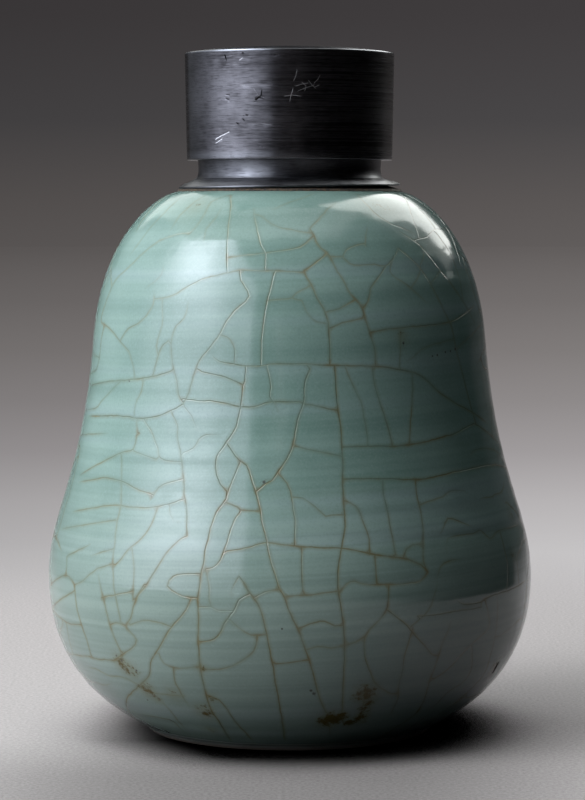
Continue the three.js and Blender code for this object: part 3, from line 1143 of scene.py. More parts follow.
def pewter(name, low, high, roughness, wear_and_sheen=()):
    """Dark turned pewter with fine lines round its axis, brighter where it is scratched and along bright
    bands.

    Each band is a height and a reach in millimetres, and how bright it is. A band is either rubbed wear or a
    painted highlight."""
    paint = Coat(name, Metallic=1.0, IOR=1.5, Anisotropic=0.6, Anisotropic_Rotation=0.25)
    paint.finish(Tangent=paint.node("ShaderNodeTangent", axis="Z"))
    cloud = paint.noise(paint.place(), 90, 4, 0.6)
    colour = paint.tint(low, high, cloud, 0.3, 0.7)
    brush = paint.noise(paint.place(20, 20, 2600), 1.0, 4, 0.7)
    colour = paint.tint(colour, high, brush, 0.4, 0.7, 0, 0.35)
    strokes = paint.noise(paint.place(420, 420, 4400), 1.0, 2, 0.7)
    colour = paint.tint(colour, high, strokes, 0.5, 0.7, 0, 0.45)
    colour = paint.tint(colour, BLACK, strokes, 0.5, 0.3, 0, 0.45)
    height = paint.split(paint.coords())[2]
    rubbed = paint.band(paint.noise(paint.place(60, 60, 500), 1.0, 3, 0.6), 0.3, 0.65, 0.35, 1)
    # Each band brightens the metal's colour: rubbed wear, or a painted highlight along an edge
    for wear_and_sheen_height, spread, amount in wear_and_sheen:
        off = paint.math("ABSOLUTE", paint.math("SUBTRACT", height, wear_and_sheen_height * MM))
        near = paint.times(paint.band(off, 0, spread * MM, amount, 0), rubbed)
        colour = paint.mix(near, colour, srgb(168, 171, 178))
    score = paint.read("score")
    colour = paint.tint(colour, srgb(206, 206, 210), score, 0.05, 0.7, 0, 0.9)
    colour = paint.tint(colour, srgb(10, 10, 11), score, -0.05, -0.6, 0, 1)
    pits = paint.band(paint.noise(paint.place(), 700, 2, 0.5), 0.7, 0.78, 1, 0)
    shape = paint.bump(pits, 0.35, 0.0001, paint.bump(brush, 0.2, 0.0001))
    rough = paint.band(brush, 0.3, 0.7, roughness, roughness + 0.1)
    rough = paint.math("ADD", rough, paint.times(paint.math("ABSOLUTE", score), 0.3))
    return paint.finish(Base_Color=colour, Normal=shape, Roughness=rough)


def putty():
    """Brown grainy putty."""
    paint = Coat("collar_putty", Roughness=0.85)
    grain = paint.noise(paint.place(), 1500, 3, 0.6)
    colour = paint.tint(srgb(22, 18, 14), srgb(70, 56, 38), grain, 0.35, 0.65)
    return paint.finish(Base_Color=colour, Normal=paint.bump(grain, 0.5, 0.0001))


# Jar


def jar_inside():
    """Two profiles: the lip, mouth and chamber down to the floor, and the underside out to the foot."""
    floor_height = FOOT_RECESS + FLOOR_THICKNESS
    wall = []
    for share in INSIDE_SHARES:
        ends = SKIN_LENGTH * share + np.array([-INSIDE_SLOPE_STEP, INSIDE_SLOPE_STEP])
        radii, heights = radius_at(ends), height_at(ends)
        run, rise = radii[1] - radii[0], heights[1] - heights[0]
        size = math.hypot(run, rise)
        height = heights.mean()
        thick = WALL_AT_FOOT + (WALL_AT_SHOULDER - WALL_AT_FOOT) * height / SEAT_HEIGHT
        inner = (radii.mean() - rise / size * thick, height + run / size * thick)
        if inner[1] > floor_height + WALL_OFF_FLOOR and inner[0] > MOUTH_RADIUS + WALL_OFF_MOUTH:
            wall.append(inner)
    inside = rounded([
        (LIP_RADIUS, LIP_HEIGHT),
        (MOUTH_RADIUS, LIP_HEIGHT - LIP_WIDTH, LIP_EASE),
        (MOUTH_RADIUS, seat_at(MOUTH_RADIUS) - WALL_AT_SHOULDER, SHOULDER_EASE),
        *wall,
        (wall[-1][0] - FLOOR_CORNER_INSET, floor_height, FLOOR_CORNER_EASE),
        (0, floor_height),
    ])
    ring_inside = FOOT_RADIUS - FOOT_BEVEL - FOOT_RING_WIDTH
    underside = rounded([
        (0, FOOT_RECESS),
        (ring_inside - FOOT_BEVEL, FOOT_RECESS, RECESS_EASE),
        (ring_inside, 0, RING_EASE),
        (FOOT_RADIUS - FOOT_BEVEL, 0, FOOT_EASE),
        (FOOT_RADIUS, FOOT_HEIGHT),
    ])
    return inside, underside


def off_pixel(places, pixel):
    """Millimetres from each place to where the camera sees the jar at a pixel."""
    return np.linalg.norm(places - skin_of([on_jar(pixel)]), axis=1)


def stain_amount(places):
    """How stained each place is, most in the middle of a stain."""
    return np.max([density * np.exp(-(off_pixel(places, pixel) / size) ** 2)
                   for pixel, size, density in STAINS], axis=0)


def speck_amount(places):
    """1 in the inner half of a speck, and down to 0 at its edge."""
    return np.max([np.clip((1 - off_pixel(places, pixel) / size) * 2, 0, 1)
                   for pixel, size in SPECKS], axis=0)


def make_jar():
    """The glazed jar, with its grooves cut in and what its glaze reads kept on its vertices."""
    rng = random.Random(SEED)
    lines = read_cracks(rng)
    lines += grow_cracks(lines, rng)
    angle, along, triangles = jar_skin(lines)
    places = skin(angle, along)
    normals = skin_normal(angle, along)
    gap, strength, knot = nearest_crack(places, lines)
    sunk = CRACK_DEPTH * strength * np.clip(1 - gap / CRACK_CORE, 0, 1)
    verts = (places - normals * sunk[:, None]).tolist()
    faces = [tuple(face)[::-1] for face in triangles]
    border = [i for i, s in enumerate(along) if s < 1e-4 or s > SKIN_LENGTH - 1e-4]
    for profile in jar_inside():
        join_turned(verts, faces, border, profile, SKIN_COLUMNS)
    jar = new_object("glazed_jar", verts, faces)
    mesh = jar.data
    store(mesh, "crack_gap", gap, CRACK_FAR)
    store(mesh, "crack_strength", strength)
    store(mesh, "knot_gap", knot, KNOT_FAR)
    store(mesh, "stain", stain_amount(places))
    store(mesh, "speck", speck_amount(places))
    heights = np.array(verts)[:, 2]
    store(mesh, "bare", np.clip((BARE_HEIGHT - heights) / BARE_BLEND, 0, 1))
    mesh.shade_smooth()
    shading = np.array([tuple(vertex.normal) for vertex in mesh.vertices])
    shading[:len(places)] = normals
    mesh.normals_split_custom_set_from_vertices(shading.tolist())
    mesh.materials.append(glaze())
    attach(jar, "jar")
    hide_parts("jar_body")


# Collar, inner lid and cap

FLANGE_RADIUS = NECK_RADIUS + FLANGE_REACH
NECK_BORE = NECK_RADIUS - NECK_WALL


def bedding_under(radius):
    return seat_at(radius) + LAY_CLEARANCE


def bedding_top(radius):
    return bedding_under(radius) + BEDDING_THICKNESS


def flange_under(radius):
    return bedding_top(radius) + LAY_CLEARANCE


LAND_HEIGHT = flange_under(LIP_RADIUS) + FLANGE_THICKNESS
NECK_TOP = LAND_HEIGHT + NECK_HEIGHT
LID_TOP = NECK_TOP + RIM_THICKNESS
CAP_BOTTOM = LID_TOP - CAP_HANG
CAP_TOP = LID_TOP + CAP_PLATE
CAP_BORE = NECK_RADIUS + CAP_CLEARANCE
CAP_BOTTOM_RADIUS = CAP_BORE + CAP_WALL
CAP_TOP_RADIUS = CAP_BOTTOM_RADIUS + CAP_FLARE
DISC_RADIUS = CAP_TOP_RADIUS - DISC_INSET
PLUG_RADIUS = NECK_BORE - PLUG_CLEARANCE
PLUG_UNDER = NECK_TOP - PLUG_DEPTH
DISH_RADIUS = PLUG_RADIUS - PLUG_WALL
DISH_FLOOR = PLUG_UNDER + PLUG_WALL


def turned(name, profile, body, node, material, steps=PEWTER_STEPS):
    """A turned piece that rides on a body and stands for the CAD node."""
    made = smooth(new_object(name, *revolved(profile, steps)))
    made.data.materials.append(material)
    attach(made, body)
    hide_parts(node)
    return made


def spring_rim(made):
    """Lifts the flange's rim on the side that has sprung up off the putty."""
    fixed = NECK_RADIUS + NECK_FILLET
    for vertex in made.data.vertices:
        x, y, z = vertex.co / MM
        radius = math.hypot(x, y)
        share = (radius - fixed) / (FLANGE_RADIUS - fixed)
        if share > 0:
            vertex.co.z += FLANGE_SPRUNG_RISE * share * (1 + x / radius) / 2 * MM
    made.data.update()


def make_bedding():
    """The line of putty between the shoulder and the flange."""
    inside = LIP_RADIUS + LAY_CLEARANCE
    outside = FLANGE_RADIUS + BEDDING_PROUD
    turned("putty_line", rounded([
        (inside, bedding_under(inside)),
        (outside, bedding_under(outside), BEDDING_EDGE_EASE),
        (outside - BEDDING_THICKNESS, bedding_top(outside - BEDDING_THICKNESS), BEDDING_TOP_EASE),
        (inside, bedding_top(inside)),
    ]), "jar", "bedding_ring", putty())


def make_flange(metal):
    """The collar's spigot and its conical flange, with a turned groove inside the bevelled rim."""
    spigot = MOUTH_RADIUS - SPIGOT_CLEARANCE
    bore = spigot - SPIGOT_WALL
    spigot_end = LIP_HEIGHT - SPIGOT_DEPTH
    rim_under = flange_under(FLANGE_RADIUS)
    bevel_radius = FLANGE_RADIUS - FLANGE_BEVEL
    bevel_share = FLANGE_BEVEL / (FLANGE_RADIUS - NECK_RADIUS - NECK_FILLET)
    bevel_top = rim_under + FLANGE_RIM + (LAND_HEIGHT - rim_under - FLANGE_RIM) * bevel_share
    full = FLANGE_RIM / 4
    flange = turned("collar", rounded([
        (bore, spigot_end, EDGE_EASE),
        (spigot, spigot_end, EDGE_EASE),
        (spigot, flange_under(LIP_RADIUS)),
        (LIP_RADIUS, flange_under(LIP_RADIUS)),
        (FLANGE_RADIUS - full, flange_under(FLANGE_RADIUS - full)),
        (FLANGE_RADIUS, rim_under + FLANGE_RIM / 2, FINE_EASE),
        (FLANGE_RADIUS - full, rim_under + FLANGE_RIM, FINE_EASE),
        (bevel_radius, bevel_top + full),
        (bevel_radius - GROOVE_MIDDLE, bevel_top - GROOVE_DEPTH, GROOVE_EASE),
        (bevel_radius - GROOVE_WIDTH, bevel_top + full + GROOVE_SHOULDER, FINE_EASE),
        (NECK_RADIUS + NECK_FILLET, LAND_HEIGHT),
        (bore, LAND_HEIGHT, EDGE_EASE),
    ], 3), "jar", "collar_flange", metal)
    spring_rim(flange)


def make_neck(metal):
    """The neck, a little hollowed where it shows and straight under the cap."""
    hollow = NECK_RADIUS - NECK_HOLLOW
    middle = (LAND_HEIGHT + CAP_BOTTOM) / 2
    shown = bezier((NECK_RADIUS + NECK_FILLET, LAND_HEIGHT), (hollow, LAND_HEIGHT + NECK_SWEEP),
                   (hollow, middle), (NECK_RADIUS, CAP_BOTTOM), 12)
    hidden = rounded([
        (NECK_RADIUS, CAP_BOTTOM),
        (NECK_RADIUS, NECK_TOP, RIM_INSET),
        (NECK_BORE, NECK_TOP, FINE_EASE),
        (NECK_BORE, LAND_HEIGHT),
    ])
    turned("neck", [(NECK_BORE, LAND_HEIGHT), *map(tuple, shown), *hidden[1:-1]],
           "jar", "neck_tube", metal)


def make_inner_lid(metal):
    """The dished plug that closes the neck, and the knob that it is pulled out by."""
    rim = NECK_RADIUS - RIM_INSET
    rim_ease = RIM_THICKNESS * RIM_EASE_SHARE
    turned("inner_lid_dish", rounded([
        (0, PLUG_UNDER),
        (PLUG_RADIUS, PLUG_UNDER, DISH_CORNER),
        (PLUG_RADIUS, NECK_TOP),
        (rim, NECK_TOP),
        (rim, LID_TOP, rim_ease),
        (DISH_RADIUS, LID_TOP, rim_ease),
        (DISH_RADIUS, DISH_FLOOR, DISH_CORNER),
        (0, DISH_FLOOR),
    ], 8), "stopper", "inner_lid", metal)

    def up(radius, share):
        return (radius, DISH_FLOOR + KNOB_HEIGHT * share)

    waist = up(KNOB_STEM_RADIUS, 0.42)
    brow = up(KNOB_HEAD_RADIUS * 0.6, 0.96)
    foot = bezier((KNOB_FOOT_RADIUS, DISH_FLOOR), (KNOB_STEM_RADIUS, DISH_FLOOR + KNOB_SWEEP),
                  up(KNOB_STEM_RADIUS, 0.3), waist, 14)
    head = bezier(waist, up(KNOB_HEAD_RADIUS * 0.8, 0.5), up(KNOB_HEAD_RADIUS * 1.3, 0.85), brow, 16)
    top = bezier(brow, up(KNOB_HEAD_RADIUS * 0.4, 1), up(KNOB_HEAD_RADIUS * 0.2, 1), up(0, 1), 8)
    profile = [(0, DISH_FLOOR), *map(tuple, foot), *map(tuple, head[1:]), *map(tuple, top[1:])]
    turned("inner_lid_knob_head", profile, "stopper", "inner_lid_knob", metal, KNOB_STEPS)


# Marks on the cap's side: how bright a scratch is, or minus how dark a pit is, then half its width in
# millimetres and its points in the photograph's pixels
CAP_MARKS = [
    (1.0, 0.12, [(216, 139), (221, 136), (229, 132)]),
    (0.9, 0.09, [(216, 143), (222, 139)]),
    (0.5, 0.08, [(240, 60), (242, 58)]),
    (0.25, 0.07, [(240, 85), (256, 84), (272, 85)]),
    (0.25, 0.07, [(247, 124), (260, 123), (272, 125)]),
    (0.8, 0.08, [(297, 70), (296, 75), (294, 80)]),
    (0.8, 0.08, [(293, 89), (291, 95), (290, 100)]),
    (0.75, 0.08, [(285, 96), (292, 95), (300, 96)]),
    (0.7, 0.07, [(296, 86), (302, 84), (308, 83)]),
    (0.75, 0.07, [(298, 91), (305, 88), (314, 85)]),
    (0.7, 0.07, [(302, 82), (306, 86), (305, 90)]),
    (0.7, 0.07, [(309, 81), (312, 85), (315, 88)]),
    (0.8, 0.07, [(314, 83), (318, 79), (320, 75)]),
    (0.7, 0.07, [(315, 87), (319, 85)]),
    (0.3, 0.06, [(254, 89), (258, 95), (264, 98)]),
    (-1.0, 0.12, [(262, 90), (261, 96), (256, 100)]),
    (-1.0, 0.08, [(258, 97), (264, 99)]),
    (-1.0, 0.15, [(246, 115), (248, 115)]),
    (-1.0, 0.12, [(243, 119), (244, 120)]),
    (-1.0, 0.12, [(237, 123), (239, 124)]),
    (-1.0, 0.14, [(242, 53), (244, 53)]),
    (-0.8, 0.12, [(276, 55), (278, 55)]),
    (-1.0, 0.15, [(225, 55), (226, 58)]),
    (-0.6, 0.1, [(227, 95), (229, 95)]),
    (-0.6, 0.09, [(226, 99), (229, 100)]),
]


def cap_radius(height):
    """Radius of the cap's wall, which widens a little upwards."""
    share = (height - CAP_BOTTOM - CAP_EDGE) / (CAP_TOP - CAP_BOTTOM - CAP_EDGE)
    return CAP_BOTTOM_RADIUS + CAP_FLARE * share


def read_marks(low, high):
    """Each mark's kind and half width, and its line as lengths round the cap and heights."""
    marks = []
    for kind, width, pixels in CAP_MARKS:
        places = [seen_at(pixel, [low, high], [cap_radius(low), cap_radius(high)]) for pixel in pixels]
        marks.append((kind, width, np.array([(angle * CAP_TOP_RADIUS, height) for angle, height in places])))
    return marks


def cut_marks(marks, across, height):
    """How strongly each place is marked, and how deep."""
    score = np.zeros(len(across))
    depth = np.zeros(len(across))
    for kind, width, line in marks:
        for start, end in zip(line[:-1], line[1:]):
            span = end - start
            run = (across - start[0]) * span[0] + (height - start[1]) * span[1]
            share = np.clip(run / (span @ span), 0, 1)
            gap = np.hypot(start[0] + span[0] * share - across, start[1] + span[1] * share - height)
            near = np.clip(1 - gap / width, 0, 1)
            score = np.where(near * abs(kind) > np.abs(score), near * kind, score)
            depth = np.maximum(depth, near * kind ** 2 * (SCRATCH_DEPTH if kind > 0 else PIT_DEPTH))
    return score, depth


def marked_wall(low, high, columns, rows):
    """The cap's outside between two heights, unrolled to a flat ring so that its marks lie in its edges."""
    def ring_place(angle, height):
        spread = math.exp((height - high) / CAP_TOP_RADIUS)
        return [spread * math.cos(angle), spread * math.sin(angle)]

    points, edges = [], []
    marks = read_marks(low, high)
    for _, width, line in marks:
        heading = np.gradient(line, axis=0)
        side = np.stack([-heading[:, 1], heading[:, 0]], -1)
        side /= np.linalg.norm(side, axis=1, keepdims=True)
        for offset in (0, -width, width):
            row = line + side * offset
            edges.extend((len(points) + i, len(points) + i + 1) for i in range(len(row) - 1))
            points.extend(ring_place(across / CAP_TOP_RADIUS, height) for across, height in row)
    for row in range(rows + 1):
        height = low + (high - low) * row / rows
        first = len(points)
        points.extend(ring_place(-math.pi + math.tau * k / columns, height) for k in range(columns))
        if row in (0, rows):
            edges.extend((first + k, first + (k + 1) % columns) for k in range(columns))
    made = delaunay_2d_cdt([Vector(p) for p in points], edges, [], 0, 1e-7)
    flat = np.array([tuple(v) for v in made[0]])
    angle = np.arctan2(flat[:, 1], flat[:, 0])
    height = high + np.log(np.hypot(flat[:, 0], flat[:, 1])) * CAP_TOP_RADIUS
    inner = height < low + 1e-4
    faces = [tuple(f)[::-1] for f in made[2] if not (inner[f[0]] and inner[f[1]] and inner[f[2]])]
    score, depth = cut_marks(marks, angle * CAP_TOP_RADIUS, height)
    radius = cap_radius(height) - depth
    return np.stack([radius * np.sin(angle), -radius * np.cos(angle), height], -1), faces, score


def make_cap(metal):
    """The cap's wall with its marks, and the domed disc let into its top."""
    low = CAP_BOTTOM + CAP_EDGE
    high = CAP_TOP - CAP_EDGE
    places, faces, score = marked_wall(low, high, PEWTER_STEPS, CAP_ROWS)
    verts = places.tolist()
    join_turned(verts, faces, range(len(verts)), rounded([
        (cap_radius(high), high),
        (cap_radius(CAP_TOP), CAP_TOP, CAP_TOP_EASE),
        (DISC_RADIUS + SOLDER_GAP, CAP_TOP, DISC_SEAT_EASE),
        (DISC_RADIUS + SOLDER_GAP, LID_TOP),
        (CAP_BORE, LID_TOP),
        (CAP_BORE, CAP_BOTTOM, CAP_BORE_EASE),
        (CAP_BOTTOM_RADIUS - CAP_FOOT_INSET, CAP_BOTTOM, CAP_FOOT_EASE),
        (cap_radius(low), low),
    ], 6), PEWTER_STEPS)
    side = smooth(new_object("cap_side", verts, faces))
    store(side.data, "score", score)
    side.data.materials.append(metal)
    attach(side, "cap")
    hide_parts("cap_wall")
    dome_top = CAP_TOP + CAP_DOME_RISE
    dome = bezier((DISC_RADIUS, CAP_TOP), (DISC_RADIUS * 0.8, CAP_TOP + CAP_DOME_RISE * 0.8),
                  (DISC_RADIUS * 0.35, dome_top), (0, dome_top), 24)
    turned("cap_top", [(0, LID_TOP), (DISC_RADIUS, LID_TOP), *map(tuple, dome)],
           "cap", "cap_disc", metal)


# Camera, floor and backdrop, in metres

FLOOR_REACH = 6.5
FLOOR_RINGS = (FLOOR_REACH, 3.2, 1.6, 0.8, 0.4, 0.2, 0.1, 0.05, 0)
# The lit paper gives way to painted shades between these distances. The shades run from the near
# distance to the floor's edge, as shares of a logarithm.
FLOOR_BLEND = (0.16, 0.34)
FLOOR_NEAR = 0.13
FLOOR_SHADES = [
    (0.0, srgb(190, 189, 191)),
    (0.218, srgb(187, 185, 186)),
    (0.321, srgb(173, 170, 171)),
    (0.419, srgb(151, 147, 148)),
    (0.519, srgb(134, 130, 130)),
    (0.629, srgb(120, 116, 115)),
    (0.766, srgb(107, 103, 102)),
    (0.977, srgb(93, 89, 88)),
]
# Painted contact shadow: the paper's colour darkens where the object shuts out its light within this reach
CONTACT_REACH = 0.04
CONTACT_DARK = (0.355, 0.66)
# The painted contact shadow is lifted on the left and front, where the light reaches in under the belly on
# that side
OPEN_LEFT = -0.85
OPEN_FRONT = -0.53
OPEN_FRONT_FROM = -0.018
OPEN_REACH = (0.029, 0.05)
OPEN_MOST = 0.85
# Painted soft shade in the paper's colour in front of the object: its depths, its middle, its spread and how
# dark it is
SHADE_DEPTHS = (-0.06, -0.01)
SHADE_MIDDLE = -0.005
SHADE_SPREAD = (0.02, 0.08)
SHADE_MOST = 0.42
# The room is lighter towards the right, as seen from this place, up to a greatest slope. Beyond the lit
# paper it dims, between two slopes and from full brightness to a share of it.
ROOM_EYE = (0, -0.6, 0)
ROOM_LEAN = 1.1
LEAN_MOST = 0.12
ROOM_NEAREST = 0.05
ROOM_DIMS = (0.11, 0.34, 1, 0.6)
# Shades of the room over its height
ROOM_SHADES = [
    (0.028, srgb(93, 89, 88)),
    (0.1, srgb(86, 82, 81)),
    (0.212, srgb(69, 67, 68)),
    (0.352, srgb(61, 58, 59)),
    (1.0, srgb(38, 37, 38)),
]
AMBIENT = 0.01
AMBIENT_COLOUR = (0.9, 0.95, 1.0, 1)


def make_camera():
    """The photograph's view."""
    data = bpy.data.cameras.new("camera")
    data.sensor_width = SENSOR
    data.lens = FOCAL_PIXELS / PHOTO_HEIGHT * SENSOR
    data.clip_start = 0.02
    data.clip_end = 60
    camera = bpy.data.objects.new("camera", data)
    camera.location = CAMERA_AT * MM
    camera.rotation_euler = (math.pi / 2 - CAMERA_PITCH, 0, 0)
    bpy.context.scene.collection.objects.link(camera)
    bpy.context.scene.camera = camera


def seen_by_lens(paint):
    """1 for what the camera sees directly, or in metal or glass, and 0 for the light on a surface."""
    path = paint.tree.nodes.new("ShaderNodeLightPath")
    both = paint.math("MAXIMUM", path.outputs["Is Camera Ray"], path.outputs["Is Glossy Ray"])
    return paint.math("MAXIMUM", both, path.outputs["Is Transmission Ray"])


def room_lean(paint, position):
    """Brightness over the room's width: a lean towards the right, and dimmer beyond the lit paper."""
    across, deep, _ = paint.split(position)
    side = paint.math("DIVIDE", across, paint.math("MAXIMUM", deep, ROOM_NEAREST))
    width = paint.band(paint.math("ABSOLUTE", side), *ROOM_DIMS)
    side = paint.math("MINIMUM", paint.math("MAXIMUM", side, -LEAN_MOST), LEAN_MOST)
    return paint.times(paint.math("MULTIPLY_ADD", side, ROOM_LEAN, 1.0), width)


def painted_contact_shade(paint, across, deep):
    """Painted shade round the object's foot and in front of it: the share of its colour that the paper
    keeps.
    """
    inputs = {"Distance": CONTACT_REACH}
    open_sky = paint.node("ShaderNodeAmbientOcclusion", inputs, out="AO", samples=8)
    contact = paint.band(open_sky, *CONTACT_DARK)
    front = paint.math("MINIMUM", deep, OPEN_FRONT_FROM)
    towards = paint.math("MULTIPLY_ADD", across, OPEN_LEFT, paint.times(front, OPEN_FRONT))
    contact = paint.math("MAXIMUM", contact, paint.band(towards, *OPEN_REACH, 0, OPEN_MOST))
    off_middle = paint.math("ABSOLUTE", paint.math("SUBTRACT", across, SHADE_MIDDLE))
    shade = paint.times(paint.band(deep, *SHADE_DEPTHS, SHADE_MOST, 0),
                        paint.band(off_middle, *SHADE_SPREAD, 1, 0))
    return paint.times(contact, paint.math("SUBTRACT", 1.0, shade))


def make_floor():
    """A pale sheet with painted shade round the object's foot and in front of it, whose far part darkens
    evenly into the backdrop.
    """
    rings = [(ring / MM, 0) for ring in FLOOR_RINGS]
    floor = new_object("floor", *revolved(rings, FLOOR_STEPS, closed=False))
    paint = Coat("floor_paper", Roughness=0.9, Specular_IOR_Level=0.0)
    coords = paint.coords()
    across, deep, _ = paint.split(coords)
    seen = seen_by_lens(paint)
    grain = paint.noise(paint.place(), 1400, 3, 0.7)
    paper = paint.tint(srgb(165, 162, 163), srgb(189, 186, 187), grain, 0.3, 0.7)
    paper = paint.mix(seen, srgb(76, 75, 76), paper)
    # The paper's colour is pulled towards black as painted shade round the foot and in front of it
    floor.data.materials.append(paint.finish(
        Base_Color=paint.mix(painted_contact_shade(paint, across, deep), BLACK, paper)))

    distance = paint.vector("LENGTH", coords)
    far = paint.math("LOGARITHM", paint.math("DIVIDE", distance, FLOOR_NEAR), FLOOR_REACH / FLOOR_NEAR)
    speckle = paint.mix(paint.band(grain, 0.3, 0.7, 0, 0.05), paint.ramp(far, FLOOR_SHADES), WHITE,
                        "OVERLAY")
    lean = room_lean(paint, paint.vector("SUBTRACT", coords, ROOM_EYE, out="Vector"))
    glow = paint.light("ShaderNodeEmission", speckle, lean)
    share = paint.times(paint.band(distance, *FLOOR_BLEND), seen)
    paint.show(paint.blend(share, paint.shader.outputs[0], glow))


def make_world():
    """A grey room that darkens upwards, with a faint light of its own."""
    world = bpy.data.worlds.new("studio")
    world.use_nodes = True
    bpy.context.scene.world = world
    paint = Paint(world.node_tree)
    direction = paint.coords("Generated")
    upward = paint.math("MULTIPLY_ADD", paint.split(direction)[2], 4, 0.1)
    seen = paint.light("ShaderNodeBackground", paint.ramp(upward, ROOM_SHADES),
                       room_lean(paint, direction))
    faint = paint.light("ShaderNodeBackground", AMBIENT_COLOUR, AMBIENT)
    paint.show(paint.blend(seen_by_lens(paint), faint, seen), "World Output")


# Lights, in metres

# Lit panel at the left: its plane, then its brightness along the room's depth and up its height. The
# soft light on matt surfaces and the highlight in the gloss are set apart.
LEFT_PLANE = -0.7
SOFT_DEPTHS = [(-1.5, 0.4), (-1.2, 0.7), (-0.95, 2.1), (-0.6, 5.6), (-0.3, 7.0), (-0.1, 5.2),
               (0.1, 1.6), (0.35, 0.4), (1.1, 0.3)]
SOFT_HEIGHTS = [(0.0, 0.5), (0.22, 0.6), (0.45, 0.93), (1.3, 1.15)]
SOFT_COLOUR = (0.99, 0.99, 0.99)
GLOSS_DEPTHS = [(-1.75, 3.2), (-1.2, 3.0), (-0.95, 3.9), (-0.6, 7.6), (-0.3, 8.0), (-0.1, 5.2),
                (0.1, 1.9), (0.25, 1.3), (0.5, 0.8), (0.62, 0.6), (0.75, 0.4), (1.1, 0.3)]
GLOSS_HEIGHTS = [(0.0, 0.42), (0.15, 0.5), (0.24, 0.67), (0.45, 0.97), (1.3, 1.0)]
GLOSS_COLOUR = (0.92, 0.98, 1.1)
# A brighter spot on it, and its radiance on matt surfaces and in the gloss
HOT_SPOT = (LEFT_PLANE, -0.25, 0.71)
HOT_REACH = 0.4
SOFT_HOT = 4
GLOSS_HOT = 6
# Level sheets overhead, with outlines given as shares of their height over the shoulder
CANOPY = 0.8
FRINGE_CANOPY = CANOPY + 0.05
CANOPY_COLOUR = (0.97, 1.0, 0.97)
LEFT_CANOPY = [(-0.35, 0.15), (-0.4, 2.6), (-1.8, 2.4), (-1.6, 1.1), (-1.3, -0.3)]
FRONT_CANOPY = [(-0.35, 0.12), (-1.0, -0.2), (-0.3, -0.6), (0.5, -0.5), (0.5, 0.15)]
CRESCENT_COLOUR = (0.98, 1.0, 0.96)
CRESCENT = [
    (0.18, 0.22), (0.3, 0.15), (0.46, 0.17), (0.68, 0.27), (0.86, 0.38), (0.87, 0.63), (1.02, 0.76),
    (1.34, 1.1), (1.9, 1.53), (2.2, 2.27), (2.07, 2.75), (1.72, 2.83), (1.37, 2.29), (1.0, 2.05),
    (0.67, 2.2), (0.44, 2.33), (0.36, 1.32), (0.31, 0.85), (0.26, 0.37),
]
CRESCENT_FRINGE = [(0.25, 0.12), (1.0, 0.2), (1.7, 0.7), (2.7, 1.7), (2.4, 2.8), (0.44, 2.33)]
# Upright panels
BACK_PANEL = [(-0.7, 1.6, 0.35), (-0.7, 1.6, 1.1), (1.0, 1.6, 1.1), (1.0, 1.6, 0.35)]
BACK_COLOUR = (1.0, 0.99, 0.99)
SLIT = [(-0.105, -1, 0.22), (-0.092, -1, 0.22), (-0.084, -1, 0.5), (-0.095, -1, 0.5)]
SLIT_COLOUR = (1.0, 0.93, 0.95)
# Black cards stand at the right and show in the gloss as a dark field with an upright edge
FLAG_PLAN = [(0.245, 0.165), (0.225, -0.1), (0.15, -0.6)]
FLAG_HEIGHT = 0.17


def lit_sheet(name, corners, radiance, colour, seen_in_gloss=True, lights_matt=True):
    """A panel that gives light and isn't seen by the lens. A card in the gloss only shows as a highlight."""
    mesh = bpy.data.meshes.new(name)
    mesh.from_pydata(corners, [], [tuple(range(len(corners)))])
    mesh.update()
    panel = bpy.data.objects.new(name, mesh)
    bpy.context.scene.collection.objects.link(panel)
    panel.visible_camera = False
    panel.visible_glossy = seen_in_gloss
    panel.visible_diffuse = lights_matt
    panel.visible_shadow = False
    paint = Coat(name + "_light")
    glow = paint.light("ShaderNodeEmission", (*colour, 1), radiance)
    paint.show(glow)
    mesh.materials.append(paint.material)
    return paint, glow.node


def left_panel(name, depths, heights, colour, spot_radiance, **seen):
    """A tall sheet whose brightness follows the depths and heights, with a round brighter spot."""
    near, far = depths[0][0], depths[-1][0]
    top = heights[-1][0]
    paint, glow = lit_sheet(name, [
        (LEFT_PLANE, near, 0), (LEFT_PLANE, near, top), (LEFT_PLANE, far, top), (LEFT_PLANE, far, 0),
    ], 1, colour, **seen)
    coords = paint.coords()
    _, deep, height = paint.split(coords)
    sheet = paint.times(paint.grey_ramp(deep, depths), paint.grey_ramp(height, heights))
    off_spot = paint.vector("DISTANCE", coords, HOT_SPOT)
    spot = paint.band(off_spot, 0, HOT_REACH, spot_radiance, 0)
    paint.put(glow.inputs["Strength"], paint.math("ADD", sheet, spot))


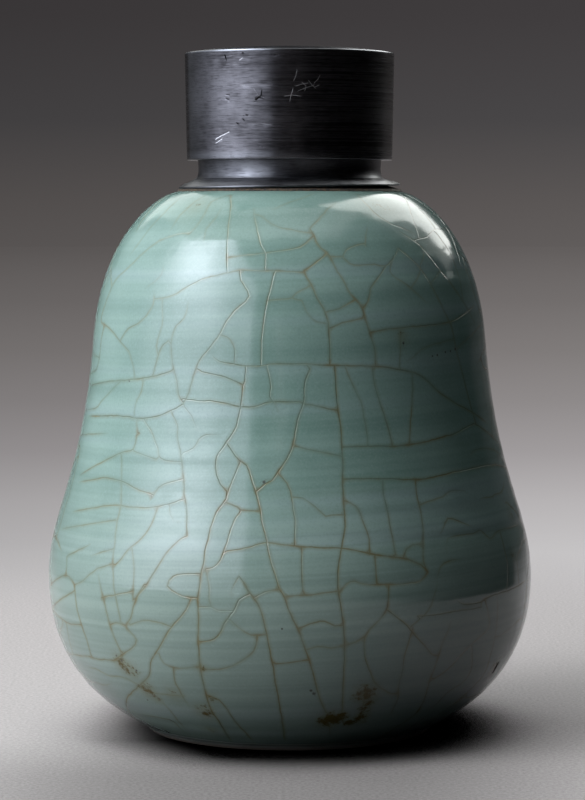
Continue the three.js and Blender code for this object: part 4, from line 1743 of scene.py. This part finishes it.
def overhead(name, plan, radiance, colour, height=CANOPY, **seen):
    """A level sheet. Its plan is given as shares of its height over the shoulder."""
    over = height - SEAT_HEIGHT * MM
    lit_sheet(name, [(x * over, y * over, height) for x, y in plan], radiance, colour, **seen)


def make_lights():
    """The panels and sheets that light the object, and the cards that only show in its gloss."""
    left_panel("left_soft_light", SOFT_DEPTHS, SOFT_HEIGHTS, SOFT_COLOUR, SOFT_HOT, seen_in_gloss=False)
    left_panel("left_card", GLOSS_DEPTHS, GLOSS_HEIGHTS, GLOSS_COLOUR, GLOSS_HOT, lights_matt=False)
    overhead("left_canopy", LEFT_CANOPY, radiance=1.5, colour=CANOPY_COLOUR)
    overhead("front_canopy", FRONT_CANOPY, radiance=1.25, colour=CANOPY_COLOUR)
    lit_sheet("back_panel", BACK_PANEL, radiance=8.0, colour=BACK_COLOUR, seen_in_gloss=False)
    overhead("crescent_card", CRESCENT, radiance=4.8, colour=CRESCENT_COLOUR, lights_matt=False)
    overhead("crescent_fringe", CRESCENT_FRINGE, radiance=0.7, colour=CRESCENT_COLOUR,
             height=FRINGE_CANOPY, lights_matt=False)
    for name, start, end in zip(("right_flag", "right_flag_near"), FLAG_PLAN[:-1], FLAG_PLAN[1:]):
        lit_sheet(name, [(*start, 0), (*end, 0), (*end, FLAG_HEIGHT), (*start, FLAG_HEIGHT)],
                  radiance=0, colour=BLACK[:3], lights_matt=False)
    lit_sheet("slit_card", SLIT, radiance=3.0, colour=SLIT_COLOUR, lights_matt=False)


bpy.context.scene.view_settings.view_transform = "Standard"
make_camera()
make_floor()
make_world()
make_lights()
make_jar()
collar_metal = pewter("collar_pewter", srgb(50, 50, 54), srgb(98, 99, 103), 0.36)
# The cap's band near its foot is rubbed wear; the band along its top edge is a painted highlight
cap_metal = pewter("cap_pewter", srgb(43, 42, 44), srgb(90, 89, 93), 0.23,
                   [(CAP_BOTTOM + 0.6, 1.5, 0.22), (CAP_TOP, 0.6, 0.7)])
make_bedding()
make_flange(collar_metal)
make_neck(collar_metal)
make_inner_lid(collar_metal)
make_cap(cap_metal)
